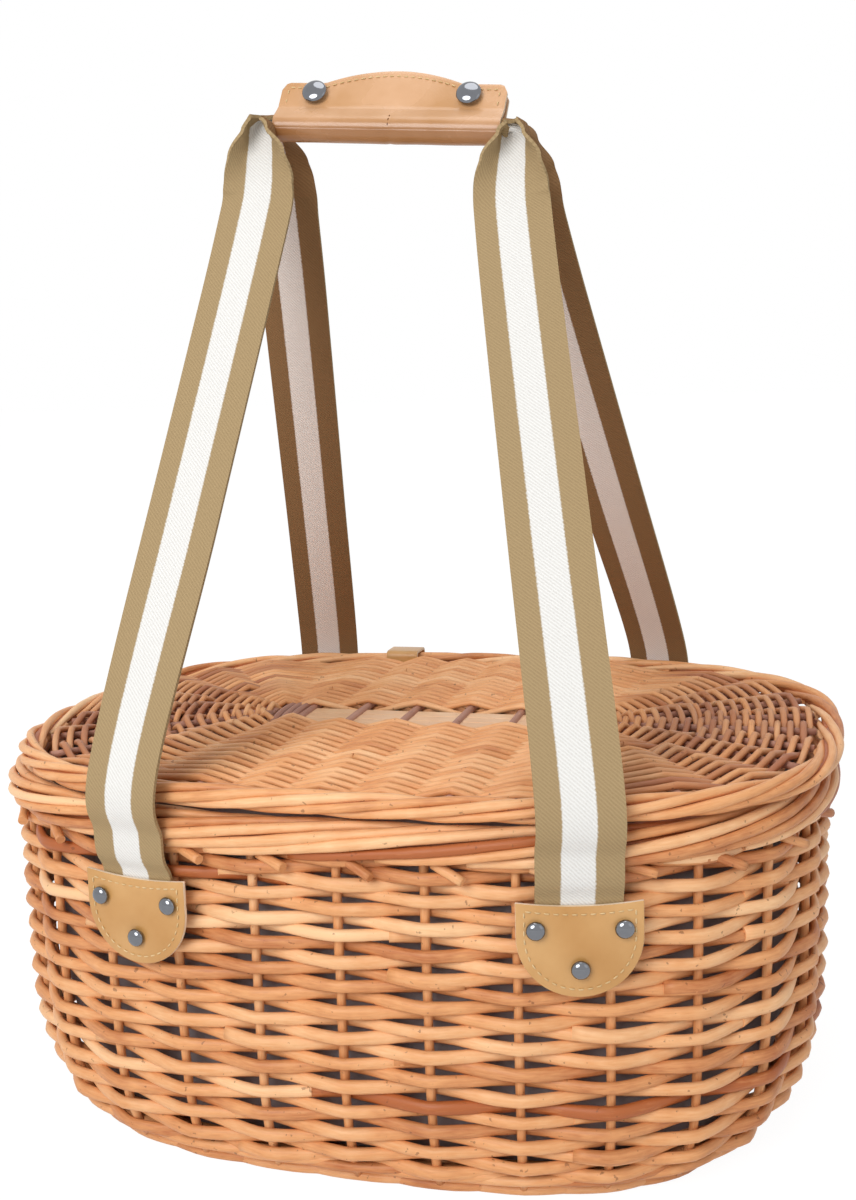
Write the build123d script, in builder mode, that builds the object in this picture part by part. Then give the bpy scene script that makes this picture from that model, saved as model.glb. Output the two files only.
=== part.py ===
from build123d import *
import os
from bisect import bisect_right
from math import acos, asin, cos, degrees, hypot, pi, radians, sin

# Oval willow picnic basket with a hinged lid, a cloth lining and a webbing handle.
# Millimetres, +Z up, +X to the right along the oval, front of the basket towards -Y.
# The origin is on the floor, under the middle of the oval.

# Plan of the wall, measured on the line of the stakes at the rim
stake_half_x = 206.8
stake_half_y = 155.3
oval_power = 2.8
stake_count = 30
turn_in_x = 36.0
turn_in_y = 17.0
turn_in_power = 7.5

# Heights
foot_height = 9.6
wall_top = 169.0
rim_height = 14.0
lid_gap = 1.0
lid_height = 12.0

# Willow of the wall
stake_size = 4.0
stake_bends = (20.0, 35.0, 65.0)
stake_foot_gap = 0.8
rod_depth = 4.6
rod_height = 5.4
row_pitch = 6.05
row_above_foot = 4.6
weave_clearance = 1.5
rod_clearance = 0.35
splice_gap = 0.5
flat_enough = 0.0001

# Rim border, lid border and bottom wale: bundles of rods that twist round a ring
rim_out = 12.4
rim_width = 20.0
rim_turns = 6
rim_rods = 4
lid_half_x = 216.0
lid_half_y = 165.0
lid_shift_x = 5.0
lid_border_width = 14.0
lid_border_turns = 6
lid_border_rods = 3
wale_width = 13.0
wale_turns = 6
wale_rods = 3
wale_flat = 0.6
steps_per_turn = 6
bundle_packing = 1.75

# Woven mats of the base and the lid
spine_stick_count = 3
spine_stick_width = 10.0
spine_thickness = 1.8
spine_half_length = 90.0
spine_gap = 0.6
mat_edge = 3.6
cross_stick_count = 6
cross_stick_pitch = 30.0
cross_stick_size = 4.6
slit_clearance = 0.2
fan_stick_size = 3.2
fan_centre_x = 84.0
fan_angles = (-64.0, -32.0, 0.0, 32.0, 64.0)
late_fan_angles = (-48.0, -16.0, 16.0, 48.0)
late_fan_share = 0.5
mat_inner_x = 130.0
mat_inner_y = 24.0
mat_rod_thickness = 2.2
mat_clearance = 1.0
mat_rod_gap = 0.6
lid_rows = 10
base_rows = 6

# Cloth lining
lining_thickness = 1.2
lining_gap = 2.9
lining_below_rim = 1.0
lining_levels = (0.0, 0.06, 0.15, 0.3, 1.0)

# Leather tabs, webbing and rivets
webbing_width = 38.0
webbing_thickness = 1.8
front_tab_x = (-94.5, 106.5)
rear_tab_x = (-106.5, 106.5)
tab_width = 55.0
tab_height = 43.0
tab_shoulder = 16.0
tab_top = 152.0
tab_hollow = 2.0
leather_thickness = 2.0
rivet_radius = 4.75
rivet_dome = 3.2
turned_sides = 12
dome_rings = ((1.0, 0.0), (0.93, 0.34), (0.7, 0.75), (0.3, 1.0))
shank_radius = 1.5
shank_clearance = 0.05
shank_proud = 0.2
rivet_spacing = 38.0
rivet_top_drop = 12.0
rivet_drop = 18.0
washer_radius = 5.0
washer_thickness = 0.8
washer_back = 1.3
webbing_end_length = 34.0
layer_gap = 0.15

# Path of each strap above its tab
fold_gap = 0.5
strap_clear = 1.2
strap_over_lid = 8.0
strap_under_rim = 4.0
strap_near_grip = 46.0
strap_out = 8.0
strap_out_bunched = 0.75
strap_corner_drop = 4.0
strap_apart = 3.2
strap_gather = 13.0
strap_gather_width = 17.0
strap_gather_thickness = 4.0

# Leather grip, in its own frame: x along the grip, y to the back, z up the flap
grip_x = -8.0
grip_y = -4.0
grip_z = 504.5
grip_length = 120.0
grip_tilt = 5.0
grip_lean = 28.0
roll_radius = 7.6
roll_drop = 5.2
flap_meeting = 4.4
flap_end_height = 20.0
flap_mid_height = 29.0
flap_arch_half = 32.0
fold_angle = 215.0
fold_slit = 4.0
panel_gap = 4.0
snap_spacing = 82.0
snap_height = 12.2
snap_radius = 7.2
snap_dome = 3.0
snap_post = 1.6
socket_radius = 4.5
socket_depth = 1.8
stud_base_radius = 4.0
stud_radius = 1.9
stud_clearance = 0.2
stud_back_radius = 5.0
stud_back_thickness = 0.8
stud_grip = 3.2
bundle_thickness = 3.5
bundle_height = 7.0
bundle_gap = 0.5
strap_overhang = 3.0

# Leather straps of the lid hinge
hinge_spread = 60.0
hinge_width = 21.0
hinge_leather = 1.8
hinge_clearance = 0.3
hinge_strap_drop = 33.0
hinge_bend = 6.0
hinge_rivet_drop = 26.0
hinge_underside = 1.0
hinge_slit = 0.2
hinge_rise = 5.0

os.makedirs("parts", exist_ok=True)

# Sizes that follow
weave_swing = (stake_size + rod_depth) / 2 + weave_clearance
wall_face = weave_swing + rod_depth / 2
rim_top = wall_top + rim_height
lid_bottom = rim_top + lid_gap
lid_top = lid_bottom + lid_height
up = Vector(0, 0, 1)


# Points, normals and even steps on the oval
def oval_point(half_x, half_y, angle):
    right, back = cos(angle), sin(angle)
    x = half_x * abs(right) ** (2 / oval_power) * (1 if right > 0 else -1)
    y = half_y * abs(back) ** (2 / oval_power) * (1 if back > 0 else -1)
    return x, y


def oval_normal(half_x, half_y, point):
    x = abs(point.X / half_x) ** (oval_power - 1) / half_x * (1 if point.X > 0 else -1)
    y = abs(point.Y / half_y) ** (oval_power - 1) / half_y * (1 if point.Y > 0 else -1)
    return Vector(x, y).normalized()


def oval_y(half_x, half_y, x):
    return half_y * (1 - abs(x / half_x) ** oval_power) ** (1 / oval_power)


def even_places(half_x, half_y, steps, start=0.0):
    # Point and outward normal at each end of so many equal steps round the oval. The
    # first and last stand a splice gap apart, because a rod's ring is never closed.
    samples = 1440
    ring = [oval_point(half_x, half_y, 2 * pi * i / samples) for i in range(samples + 1)]
    run = [0.0]
    for (ax, ay), (bx, by) in zip(ring, ring[1:]):
        run.append(run[-1] + hypot(bx - ax, by - ay))
    places = []
    for i in range(steps + 1):
        trim = splice_gap / 2 if i == 0 else -splice_gap / 2 if i == steps else 0.0
        distance = ((start + i) / steps * run[-1] + trim) % run[-1]
        k = min(bisect_right(run, distance), samples) - 1
        share = (distance - run[k]) / (run[k + 1] - run[k])
        (ax, ay), (bx, by) = ring[k], ring[k + 1]
        point = Vector(ax + (bx - ax) * share, ay + (by - ay) * share)
        places.append((point, oval_normal(half_x, half_y, point)))
    return places


# A rod's cross-section plane has x outward and y up, and its path runs along z
def rod_plane(point, outward, z):
    return Plane(origin=(point.X, point.Y, z), x_dir=outward, z_dir=outward.cross(up))


def flat_faces(a, b, c, d):
    # One flat face between four corners where they lie in a plane, and two where they don't
    normal = (b - a).cross(d - a).normalized()
    corners = [(a, b, c, d)] if abs(normal.dot(c - a)) < flat_enough else [(a, b, c), (a, c, d)]
    return [Face(Wire.make_polygon(ring)) for ring in corners]


def lofted_rod(sections):
    # Each section is a plane with the corners of the rod there. The skin runs from one
    # section to the next, corner to corner, and is closed by a flat face at each end.
    rings = [[plane.from_local_coords(corner) for corner in corners] for plane, corners in sections]
    skin = [Face(Wire.make_polygon(ring)) for ring in (rings[0], rings[-1])]
    for ring, following in zip(rings, rings[1:]):
        for i in range(len(ring)):
            skin += flat_faces(ring[i - 1], ring[i], following[i], following[i - 1])
    return Solid(Shell(skin))


def wedge(depth, height):
    return (depth / 2, 0), (-depth / 2, height / 2), (-depth / 2, -height / 2)


def diamond(width, height):
    return (width / 2, 0), (0, height / 2), (-width / 2, 0), (0, -height / 2)


def turn_in(z, normal):
    # How far the wall's line is drawn in at a height, more at the ends than at the sides
    share = max(0.0, 1 - z / wall_top) ** turn_in_power
    return (turn_in_x * normal.X**2 + turn_in_y * normal.Y**2) * share


# Wall weave: each row passes outside one stake and inside the next, and the row above
# goes the other way. Every row is spliced at another stake.
row_start = foot_height + row_above_foot
row_count = int((wall_top - rod_height / 2 - row_start) / row_pitch) + 1
wall_rods = []
for row in range(row_count):
    z = row_start + row * row_pitch
    sections = []
    places = even_places(stake_half_x, stake_half_y, stake_count, start=0.5 + 5 * row)
    for i, (point, outward) in enumerate(places):
        side = 1 if (i + 6 * row) % 2 else -1
        centre = point + outward * (side * weave_swing - turn_in(z, outward))
        sections.append((rod_plane(centre, outward, z), wedge(rod_depth, rod_height)))
    wall_rods.append(lofted_rod(sections))


def wall_plane(x, side, z):
    # Plane on the wall's face: x to the right along the wall, y up, z outward
    point = Vector(x, side * oval_y(stake_half_x, stake_half_y, x))
    outward = oval_normal(stake_half_x, stake_half_y, point)
    face = point + outward * wall_face
    return Plane(origin=(face.X, face.Y, z), x_dir=up.cross(outward), z_dir=outward)


def beside(plane, across, rise, out):
    # The same plane, moved along its own axes
    return Plane(plane.from_local_coords((across, rise, out)), x_dir=plane.x_dir, z_dir=plane.z_dir)


tabs = {
    "front_left": wall_plane(front_tab_x[0], -1, tab_top),
    "front_right": wall_plane(front_tab_x[1], -1, tab_top),
    "rear_left": wall_plane(rear_tab_x[0], 1, tab_top),
    "rear_right": wall_plane(rear_tab_x[1], 1, tab_top),
}
tab_back = webbing_thickness + 2 * layer_gap
rivet_pattern = (
    (-rivet_spacing / 2, -rivet_top_drop),
    (rivet_spacing / 2, -rivet_top_drop),
    (0, -rivet_top_drop - rivet_drop),
)
tab_rivet_planes = [beside(p, x, y, 0) for p in tabs.values() for x, y in rivet_pattern]
hinge_xs = (lid_shift_x - hinge_spread, lid_shift_x + hinge_spread)
hinge_near = hinge_spread - hinge_width / 2
hinge_far = hinge_spread + hinge_width / 2
hinge_wall_y = oval_y(stake_half_x, stake_half_y, hinge_near - lid_shift_x) + wall_face
hinge_rivet_planes = [
    Plane((x, hinge_wall_y, rim_top - hinge_rivet_drop), x_dir=(-1, 0, 0), z_dir=(0, 1, 0))
    for x in hinge_xs
]
rivet_planes = tab_rivet_planes + hinge_rivet_planes
hole_radius = shank_radius + shank_clearance

shank_depth = 2 * wall_face + 2
with BuildPart() as wall_weave:
    add(wall_rods)
    with BuildSketch(*rivet_planes):
        RegularPolygon(hole_radius, 6, major_radius=False)
    extrude(amount=-shank_depth, mode=Mode.SUBTRACT)
wall_weave.part.label = "wall_weave"
export_step(wall_weave.part, "parts/wall_weave.step")

# Side stakes: upright rods that follow the wall in at its foot
stake_levels = [foot_height + stake_foot_gap, *stake_bends, wall_top - rod_clearance]
with BuildPart() as side_stakes:
    for point, outward in even_places(stake_half_x, stake_half_y, stake_count, start=0.5)[:-1]:
        line = [Vector(-turn_in(z, outward), z) for z in stake_levels]
        half = Vector(stake_size / 2, 0)
        with BuildSketch(rod_plane(point, outward, 0)):
            with BuildLine():
                Polyline(*[p + half for p in line], *[p - half for p in reversed(line)], close=True)
            make_face()
    extrude(amount=stake_size / 2, both=True)
side_stakes.part.label = "side_stakes"
export_step(side_stakes.part, "parts/side_stakes.step")


# Bundles: rods twisted round each other along the oval, as borders and wales are laid
def bundle(half_x, half_y, out, width, middle_z, height, turns, rods, shift_x=0.0, drawn_in=False):
    rod_wide = width / (1 + bundle_packing)
    rod_high = height / (1 + bundle_packing)
    steps = turns * steps_per_turn
    pieces = []
    for rod in range(rods):
        sections = []
        for i, (point, outward) in enumerate(even_places(half_x, half_y, steps)):
            angle = 2 * pi * (i / steps_per_turn + (rod + 0.25) / rods)
            inset = turn_in(0, outward) if drawn_in else 0.0
            centre = point + outward * (out - inset + (width - rod_wide) / 2 * cos(angle))
            z = middle_z + (height - rod_high) / 2 * sin(angle)
            plane = rod_plane(centre + Vector(shift_x, 0), outward, z)
            sections.append((plane, diamond(rod_wide, rod_high)))
        pieces.append(lofted_rod(sections))
    return pieces


rim_bundle = bundle(
    stake_half_x, stake_half_y, rim_out - rim_width / 2, rim_width,
    wall_top + rim_height / 2, rim_height, rim_turns, rim_rods,
)
with BuildPart() as rim_border:
    add(rim_bundle)
rim_border.part.label = "rim_border"
export_step(rim_border.part, "parts/rim_border.step")

lid_bundle = bundle(
    lid_half_x, lid_half_y, -lid_border_width / 2, lid_border_width,
    lid_bottom + lid_height / 2, lid_height, lid_border_turns, lid_border_rods, lid_shift_x,
)
with BuildPart() as lid_border:
    add(lid_bundle)
lid_border.part.label = "lid_border"
export_step(lid_border.part, "parts/lid_border.step")

wale_bundle = bundle(
    stake_half_x, stake_half_y, 0.0, wale_width,
    foot_height / 2 - wale_flat, foot_height + wale_flat, wale_turns, wale_rods, drawn_in=True,
)
with BuildPart() as bottom_wale:
    add(wale_bundle)
    split(bisect_by=Plane.XY, keep=Keep.TOP)
bottom_wale.part.label = "bottom_wale"
export_step(bottom_wale.part, "parts/bottom_wale.step")


# Woven mats: cross sticks, a fan of sticks at each end, and rods woven round the spine
def oval_reach(half_x, half_y, start, direction):
    # How far a stick runs from its start until it leaves an oval
    near, far = 0.0, 2 * half_x
    for _ in range(40):
        middle = (near + far) / 2
        p = start + direction * middle
        outside = abs(p.X / half_x) ** oval_power + abs(p.Y / half_y) ** oval_power > 1
        near, far = (near, middle) if outside else (middle, far)
    return near


cross_xs = [(i - (cross_stick_count - 1) / 2) * cross_stick_pitch for i in range(cross_stick_count)]
fan_first = spine_half_length + fan_stick_size / 2 + spine_gap - fan_centre_x


def mat_ring(half_x, half_y, share):
    # Half lengths of the ring at a share of the way from the mat's middle to its edge
    return mat_inner_x + share * (half_x - mat_inner_x), mat_inner_y + share * (half_y - mat_inner_y)


def fan_sticks(side, half_x, half_y, rows):
    # Foot, direction, and where each stick begins, in order of angle. The late ones begin
    # between two rows, part of the way out.
    sticks = []
    late_ring = mat_ring(half_x, half_y, round(late_fan_share * rows) / rows)
    for angle in sorted(fan_angles + late_fan_angles):
        foot = Vector(side * fan_centre_x, 0)
        direction = Vector(cos(radians(angle)), sin(radians(angle))) * side
        begin = fan_first / cos(radians(angle))
        if angle in late_fan_angles:
            begin = oval_reach(*late_ring, foot, direction) + mat_rod_gap
        sticks.append((foot, direction, begin))
    return sticks


def mat_sticks(half_x, half_y, rows):
    # All sticks in order round the mat: right end, back, left end, front
    back = [(Vector(x, 0), Vector(0, 1), 0.0) for x in reversed(cross_xs)]
    front = [(Vector(x, 0), Vector(0, -1), 0.0) for x in cross_xs]
    right, left = (fan_sticks(side, half_x, half_y, rows) for side in (1, -1))
    return right + back + left + front


mat_swing = cross_stick_size / 2 + mat_clearance + mat_rod_thickness / 2


def mat_rods(half_x, half_y, rows, middle_z, shift_x):
    rods = []
    sticks = mat_sticks(half_x, half_y, rows)
    for row in range(rows):
        ring = mat_ring(half_x, half_y, (row + 0.5) / rows)
        next_ring = mat_ring(half_x, half_y, (row + 1.5) / rows)
        crossed = []
        for start, direction, begin in sticks:
            reach = oval_reach(*ring, start, direction)
            if reach > begin:
                crossed.append((start, direction, reach))
        sections = []
        for i in range(len(crossed) + 1):
            start, direction, reach = crossed[i % len(crossed)]
            point = start + direction * reach
            outward = oval_normal(*ring, point)
            pitch = (oval_reach(*next_ring, start, direction) - reach) * direction.dot(outward)
            trim = splice_gap if i == 0 else -splice_gap if i == len(crossed) else 0.0
            point += up.cross(outward) * trim + Vector(shift_x, 0)
            z = middle_z + mat_swing * (1 if (i + row) % 2 else -1)
            corners = wedge(pitch - mat_rod_gap, mat_rod_thickness)
            sections.append((rod_plane(point, outward, z), corners))
        rods.append(lofted_rod(sections))
    return rods


spine_width = spine_stick_count * (spine_stick_width + spine_gap) - spine_gap
wale_inner = wale_width / 2 + rod_clearance
mats = {
    "base": (
        stake_half_x - turn_in_x - wale_inner,
        stake_half_y - turn_in_y - wale_inner,
        base_rows,
        foot_height - mat_swing + mat_rod_thickness / 2,
        0.0,
    ),
    "lid": (
        lid_half_x - lid_border_width - rod_clearance,
        lid_half_y - lid_border_width - rod_clearance,
        lid_rows,
        lid_bottom + lid_height / 2,
        lid_shift_x,
    ),
}
for name, (half_x, half_y, rows, middle_z, shift_x) in mats.items():
    woven_x, woven_y = half_x - mat_edge, half_y - mat_edge
    rods = mat_rods(woven_x, woven_y, rows, middle_z, shift_x)
    with BuildPart() as mat_weave:
        add(rods)
    mat_weave.part.label = name + "_weave"
    export_step(mat_weave.part, f"parts/{name}_weave.step")

    with BuildPart() as cross_sticks:
        for x in cross_xs:
            with BuildSketch(Plane((x + shift_x, 0, middle_z), x_dir=(1, 0, 0), z_dir=(0, 1, 0))):
                RegularPolygon(cross_stick_size / 2, 6, major_radius=False, rotation=30)
            extrude(amount=oval_reach(half_x, half_y, Vector(x, 0), Vector(0, 1)), both=True)
        with BuildSketch(Plane.XY.offset(middle_z)):
            with Locations((shift_x, 0)):
                Rectangle(2 * spine_half_length, spine_width + 2 * slit_clearance)
        extrude(amount=spine_thickness / 2 + slit_clearance, both=True, mode=Mode.SUBTRACT)
    cross_sticks.part.label = name + "_cross_sticks"
    export_step(cross_sticks.part, f"parts/{name}_cross_sticks.step")

    with BuildPart() as end_sticks:
        fans = [stick for side in (1, -1) for stick in fan_sticks(side, woven_x, woven_y, rows)]
        for start, direction, begin in fans:
            foot = start + direction * begin + Vector(shift_x, 0, middle_z)
            with BuildSketch(Plane(foot, x_dir=up, z_dir=direction)):
                RegularPolygon(fan_stick_size / 2, 6, major_radius=False, rotation=30)
            extrude(amount=oval_reach(half_x, half_y, start, direction) - begin)
    end_sticks.part.label = name + "_end_sticks"
    export_step(end_sticks.part, f"parts/{name}_end_sticks.step")

    with BuildPart() as spine:
        with BuildSketch(Plane.XY.offset(middle_z)):
            with Locations((shift_x, 0)):
                with GridLocations(0, spine_stick_width + spine_gap, 1, spine_stick_count):
                    Rectangle(2 * spine_half_length, spine_stick_width)
        extrude(amount=spine_thickness / 2, both=True)
    spine.part.label = name + "_spine"
    export_step(spine.part, f"parts/{name}_spine.step")

# Lining: a cloth bag inside the stakes, flat on the base
lining_floor = mats["base"][3] + mat_swing + mat_rod_thickness / 2 + rod_clearance
lining_top = rim_top - lining_below_rim
with BuildPart() as lining:
    for depth, mode in ((0.0, Mode.ADD), (lining_thickness, Mode.SUBTRACT)):
        for level in lining_levels:
            z = lining_floor + depth + level * (lining_top - lining_floor)
            inside = wall_face + lining_gap + depth
            ring = [
                point - outward * (inside + turn_in(z - depth, outward))
                for point, outward in even_places(stake_half_x, stake_half_y, stake_count, start=0.5)[:-1]
            ]
            with BuildSketch(Plane.XY.offset(z)):
                with BuildLine():
                    Polyline(*ring, close=True)
                make_face()
        loft(ruled=True, mode=mode)
lining.part.label = "lining"
export_step(lining.part, "parts/lining.step")

# Leather tabs: a top edge drawn down a little, straight shoulders and a round foot
for name in ("front", "rear"):
    places = [beside(tabs[f"{name}_{hand}"], 0, 0, tab_back) for hand in ("left", "right")]
    half = tab_width / 2
    with BuildPart() as tab_pair:
        with BuildSketch(*places):
            with BuildLine():
                ThreePointArc((-half, 0), (0, -tab_hollow), (half, 0))
                Line((half, 0), (half, -tab_shoulder))
                ThreePointArc((half, -tab_shoulder), (0, -tab_height), (-half, -tab_shoulder))
                Line((-half, -tab_shoulder), (-half, 0))
            make_face()
            with Locations(*rivet_pattern):
                RegularPolygon(hole_radius, 6, major_radius=False, mode=Mode.SUBTRACT)
        extrude(amount=leather_thickness)
    tab_pair.part.label = name + "_tabs"
    export_step(tab_pair.part, f"parts/{name}_tabs.step")

# Webbing ends: the fixed end of each strap, under its tab
with BuildPart() as webbing_ends:
    with BuildSketch(*[beside(p, 0, 0, layer_gap) for p in tabs.values()]):
        with Locations((0, -webbing_end_length / 2 - tab_hollow / 2)):
            Rectangle(webbing_width, webbing_end_length - tab_hollow)
        with Locations(*rivet_pattern):
            RegularPolygon(hole_radius, 6, major_radius=False, mode=Mode.SUBTRACT)
    extrude(amount=webbing_thickness)
webbing_ends.part.label = "webbing_ends"
export_step(webbing_ends.part, "parts/webbing_ends.step")


# Turned pieces: rings of one many-sided section, from one end of the piece to the other
def turned(plane, *profile):
    turns = [2 * pi * i / turned_sides for i in range(turned_sides)]
    return lofted_rod([
        (beside(plane, 0, 0, height), [(radius * cos(turn), radius * sin(turn)) for turn in turns])
        for radius, height in profile
    ])


def dome(radius, seat, height):
    # Rings of a low dome, from its edge to the flat at its top
    return [(radius * share, seat + height * rise) for share, rise in dome_rings]


# Rivets: a dome outside, and a shank through leather, webbing and wall to its washer
shank_end = 2 * wall_face + washer_back + washer_thickness + shank_proud


def rivet(plane, seat):
    shank = [(shank_radius, -shank_end), (shank_radius, seat)]
    return turned(plane, *shank, *dome(rivet_radius, seat, rivet_dome))


tab_rivet_solids = [rivet(p, tab_back + leather_thickness) for p in tab_rivet_planes]
with BuildPart() as tab_rivets:
    add(tab_rivet_solids)
tab_rivets.part.label = "tab_rivets"
export_step(tab_rivets.part, "parts/tab_rivets.step")

hinge_seat = hinge_clearance + hinge_leather
hinge_rivet_solids = [rivet(p, hinge_seat) for p in hinge_rivet_planes]
with BuildPart() as hinge_rivets:
    add(hinge_rivet_solids)
hinge_rivets.part.label = "hinge_rivets"
export_step(hinge_rivets.part, "parts/hinge_rivets.step")

washer_face = -2 * wall_face - washer_back
with BuildPart() as rivet_washers:
    with BuildSketch(*[beside(p, 0, 0, washer_face) for p in rivet_planes]):
        RegularPolygon(washer_radius, 8, major_radius=False)
        RegularPolygon(hole_radius, 6, major_radius=False, mode=Mode.SUBTRACT)
    extrude(amount=-washer_thickness)
rivet_washers.part.label = "rivet_washers"
export_step(rivet_washers.part, "parts/rivet_washers.step")

# Hinge straps: leather riveted to the back wall, up past the rim border to the hinge line
hinge_rim_y = oval_y(stake_half_x, stake_half_y, hinge_near - lid_shift_x) + rim_out + hinge_clearance
hinge_line_y = hinge_rim_y + hinge_leather
strap_wall_y = hinge_wall_y + hinge_clearance
strap_bend_z = wall_top - rod_clearance
strap_line = (
    (hinge_rim_y, rim_top),
    (hinge_rim_y, strap_bend_z),
    (strap_wall_y, strap_bend_z - hinge_bend),
    (strap_wall_y, rim_top - hinge_strap_drop),
)
with BuildPart() as basket_hinge_straps:
    with BuildSketch(*[Plane.YZ.offset(x) for x in hinge_xs]):
        with BuildLine():
            outer = [(y + hinge_leather, z) for y, z in reversed(strap_line)]
            Polyline(*strap_line, *outer, close=True)
        make_face()
    extrude(amount=hinge_width / 2, both=True)
    with BuildSketch(*hinge_rivet_planes):
        RegularPolygon(hole_radius, 6, major_radius=False)
    extrude(amount=2 * hinge_leather, mode=Mode.SUBTRACT)
basket_hinge_straps.part.label = "basket_hinge_straps"
export_step(basket_hinge_straps.part, "parts/basket_hinge_straps.step")

# Hinge loops: leather sewn round the lid border, with a lip out to the hinge line
loop_out_y = oval_y(lid_half_x, lid_half_y, hinge_near) + hinge_clearance
border_in = oval_y(lid_half_x - lid_border_width, lid_half_y - lid_border_width, hinge_far)
loop_in_y = border_in - hinge_clearance
loop_top = lid_top + hinge_clearance
loop_low = rim_top + hinge_slit
with BuildPart() as lid_hinge_loops:
    with BuildSketch(*[Plane.YZ.offset(x) for x in hinge_xs]):
        with BuildLine():
            Polyline(
                (loop_in_y - hinge_leather, loop_low),
                (hinge_line_y, loop_low),
                (hinge_line_y, loop_low + hinge_leather),
                (loop_out_y + hinge_leather, loop_low + hinge_leather + hinge_rise),
                (loop_out_y + hinge_leather, loop_top),
                (loop_out_y, loop_top + hinge_leather),
                (loop_in_y, loop_top + hinge_leather),
                (loop_in_y - hinge_leather, loop_top),
                close=True,
            )
        make_face()
        with BuildLine():
            low = loop_low + hinge_underside
            Polyline(
                (loop_in_y, low), (loop_out_y, low), (loop_out_y, loop_top), (loop_in_y, loop_top),
                close=True,
            )
        make_face(mode=Mode.SUBTRACT)
    extrude(amount=hinge_width / 2, both=True)
lid_hinge_loops.part.label = "lid_hinge_loops"
export_step(lid_hinge_loops.part, "parts/lid_hinge_loops.step")

# Grip frame
lean, tilt = radians(grip_lean), radians(grip_tilt)
grip_centre = Vector(grip_x, grip_y, grip_z)
grip_along = Vector(cos(tilt), 0, -sin(tilt))
grip_up = Vector(sin(tilt), 0, cos(tilt)) * cos(lean) + Vector(0, 1, 0) * sin(lean)
grip_back = grip_up.cross(grip_along)
grip_section = Plane(grip_centre, x_dir=grip_back, z_dir=grip_along)
grip_face = Plane(grip_centre, x_dir=grip_along, z_dir=grip_back * -1)

# The leather runs round the roll, leaves it at a tangent and stands up as two panels
half_leather = leather_thickness / 2
panel_middle = panel_gap / 2 + half_leather
meeting_reach = hypot(panel_middle, flap_meeting + roll_drop)
tangent_angle = asin(panel_middle / meeting_reach) + acos((roll_radius - half_leather) / meeting_reach)
leave_angle = 90 + degrees(tangent_angle)


def on_roll(radius, angle):
    return Vector(0, -roll_drop) + Vector(cos(radians(angle)), sin(radians(angle))) * radius


def leather_outline(first, last, side):
    # Drawn in the section: round the roll from one angle to the other, then up a panel
    ends = []
    for radius, edge in ((roll_radius, half_leather), (roll_radius - leather_thickness, -half_leather)):
        start, middle, end = (on_roll(radius, angle) for angle in (first, (first + last) / 2, last))
        ThreePointArc(start, middle, end)
        x = side * (panel_middle + edge)
        Polyline(end, (x, flap_meeting), (x, flap_mid_height))
        ends.append((start, (x, flap_mid_height)))
    Line(ends[0][0], ends[1][0])
    Line(ends[0][1], ends[1][1])


def arch_outline():
    # What stands above the arched top edge of the panels, drawn in their face
    edge, arch = grip_length / 2 + 1, flap_arch_half
    above = flap_mid_height + 1
    ThreePointArc((-arch, flap_end_height), (0, flap_mid_height), (arch, flap_end_height))
    Polyline((arch, flap_end_height), (edge, flap_end_height), (edge, above), (-edge, above),
             (-edge, flap_end_height), (-arch, flap_end_height))


snap_places = ((-snap_spacing / 2, snap_height), (snap_spacing / 2, snap_height))
snap_planes = [
    Plane(grip_face.from_local_coords((x, y, 0)), x_dir=grip_along, z_dir=grip_back * -1)
    for x, y in snap_places
]
leather_spans = {
    "grip_wrap": (fold_angle + fold_slit / 2, 540 - leave_angle, 1),
    "grip_flap": (fold_angle - fold_slit / 2, leave_angle, -1),
}
for name, (first, last, side) in leather_spans.items():
    with BuildPart() as grip_leather:
        with BuildSketch(grip_section):
            with BuildLine():
                leather_outline(first, last, side)
            make_face()
        extrude(amount=grip_length / 2, both=True)
        with BuildSketch(grip_face):
            with BuildLine():
                arch_outline()
            make_face()
        extrude(amount=2 * roll_radius, both=True, mode=Mode.SUBTRACT)
        with BuildSketch(*snap_planes):
            Circle(snap_post + stud_clearance)
        extrude(amount=-side * 2 * roll_radius, mode=Mode.SUBTRACT)
    grip_leather.part.label = name
    export_step(grip_leather.part, f"parts/{name}.step")

# Snaps: a domed cap riveted to its socket through the flap, and a stud on the back panel
panel_out = panel_gap / 2 + leather_thickness
panel_in = panel_gap / 2
socket_face = panel_in - socket_depth
socket_floor = stud_grip - panel_in
snap_cap_solids = [
    turned(
        plane,
        (stud_radius + stud_clearance, socket_floor + stud_clearance),
        (stud_radius + stud_clearance, socket_face),
        (socket_radius, socket_face),
        (socket_radius, panel_in),
        (snap_post, panel_in),
        (snap_post, panel_out),
        *dome(snap_radius, panel_out, snap_dome),
    )
    for plane in snap_planes
]
with BuildPart() as snap_caps:
    add(snap_cap_solids)
snap_caps.part.label = "snap_caps"
export_step(snap_caps.part, "parts/snap_caps.step")

snap_stud_solids = [
    turned(
        plane,
        (stud_back_radius, -panel_out - stud_back_thickness),
        (stud_back_radius, -panel_out),
        (snap_post, -panel_out),
        (snap_post, -panel_in),
        (stud_base_radius, -panel_in),
        (stud_base_radius, -panel_in + stud_back_thickness),
        (stud_radius, -panel_in + stud_back_thickness),
        (stud_radius, socket_floor),
    )
    for plane in snap_planes
]
with BuildPart() as snap_studs:
    add(snap_stud_solids)
snap_studs.part.label = "snap_studs"
export_step(snap_studs.part, "parts/snap_studs.step")


# Webbing: each strap rises from its tab past the rim and the lid, gathers under the end of
# the grip, turns into the roll and comes out of the other end
def flat_strap(width, thickness):
    across, deep = width / 2, thickness / 2
    return (-across, -deep), (across, -deep), (across, deep), (-across, deep)


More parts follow.
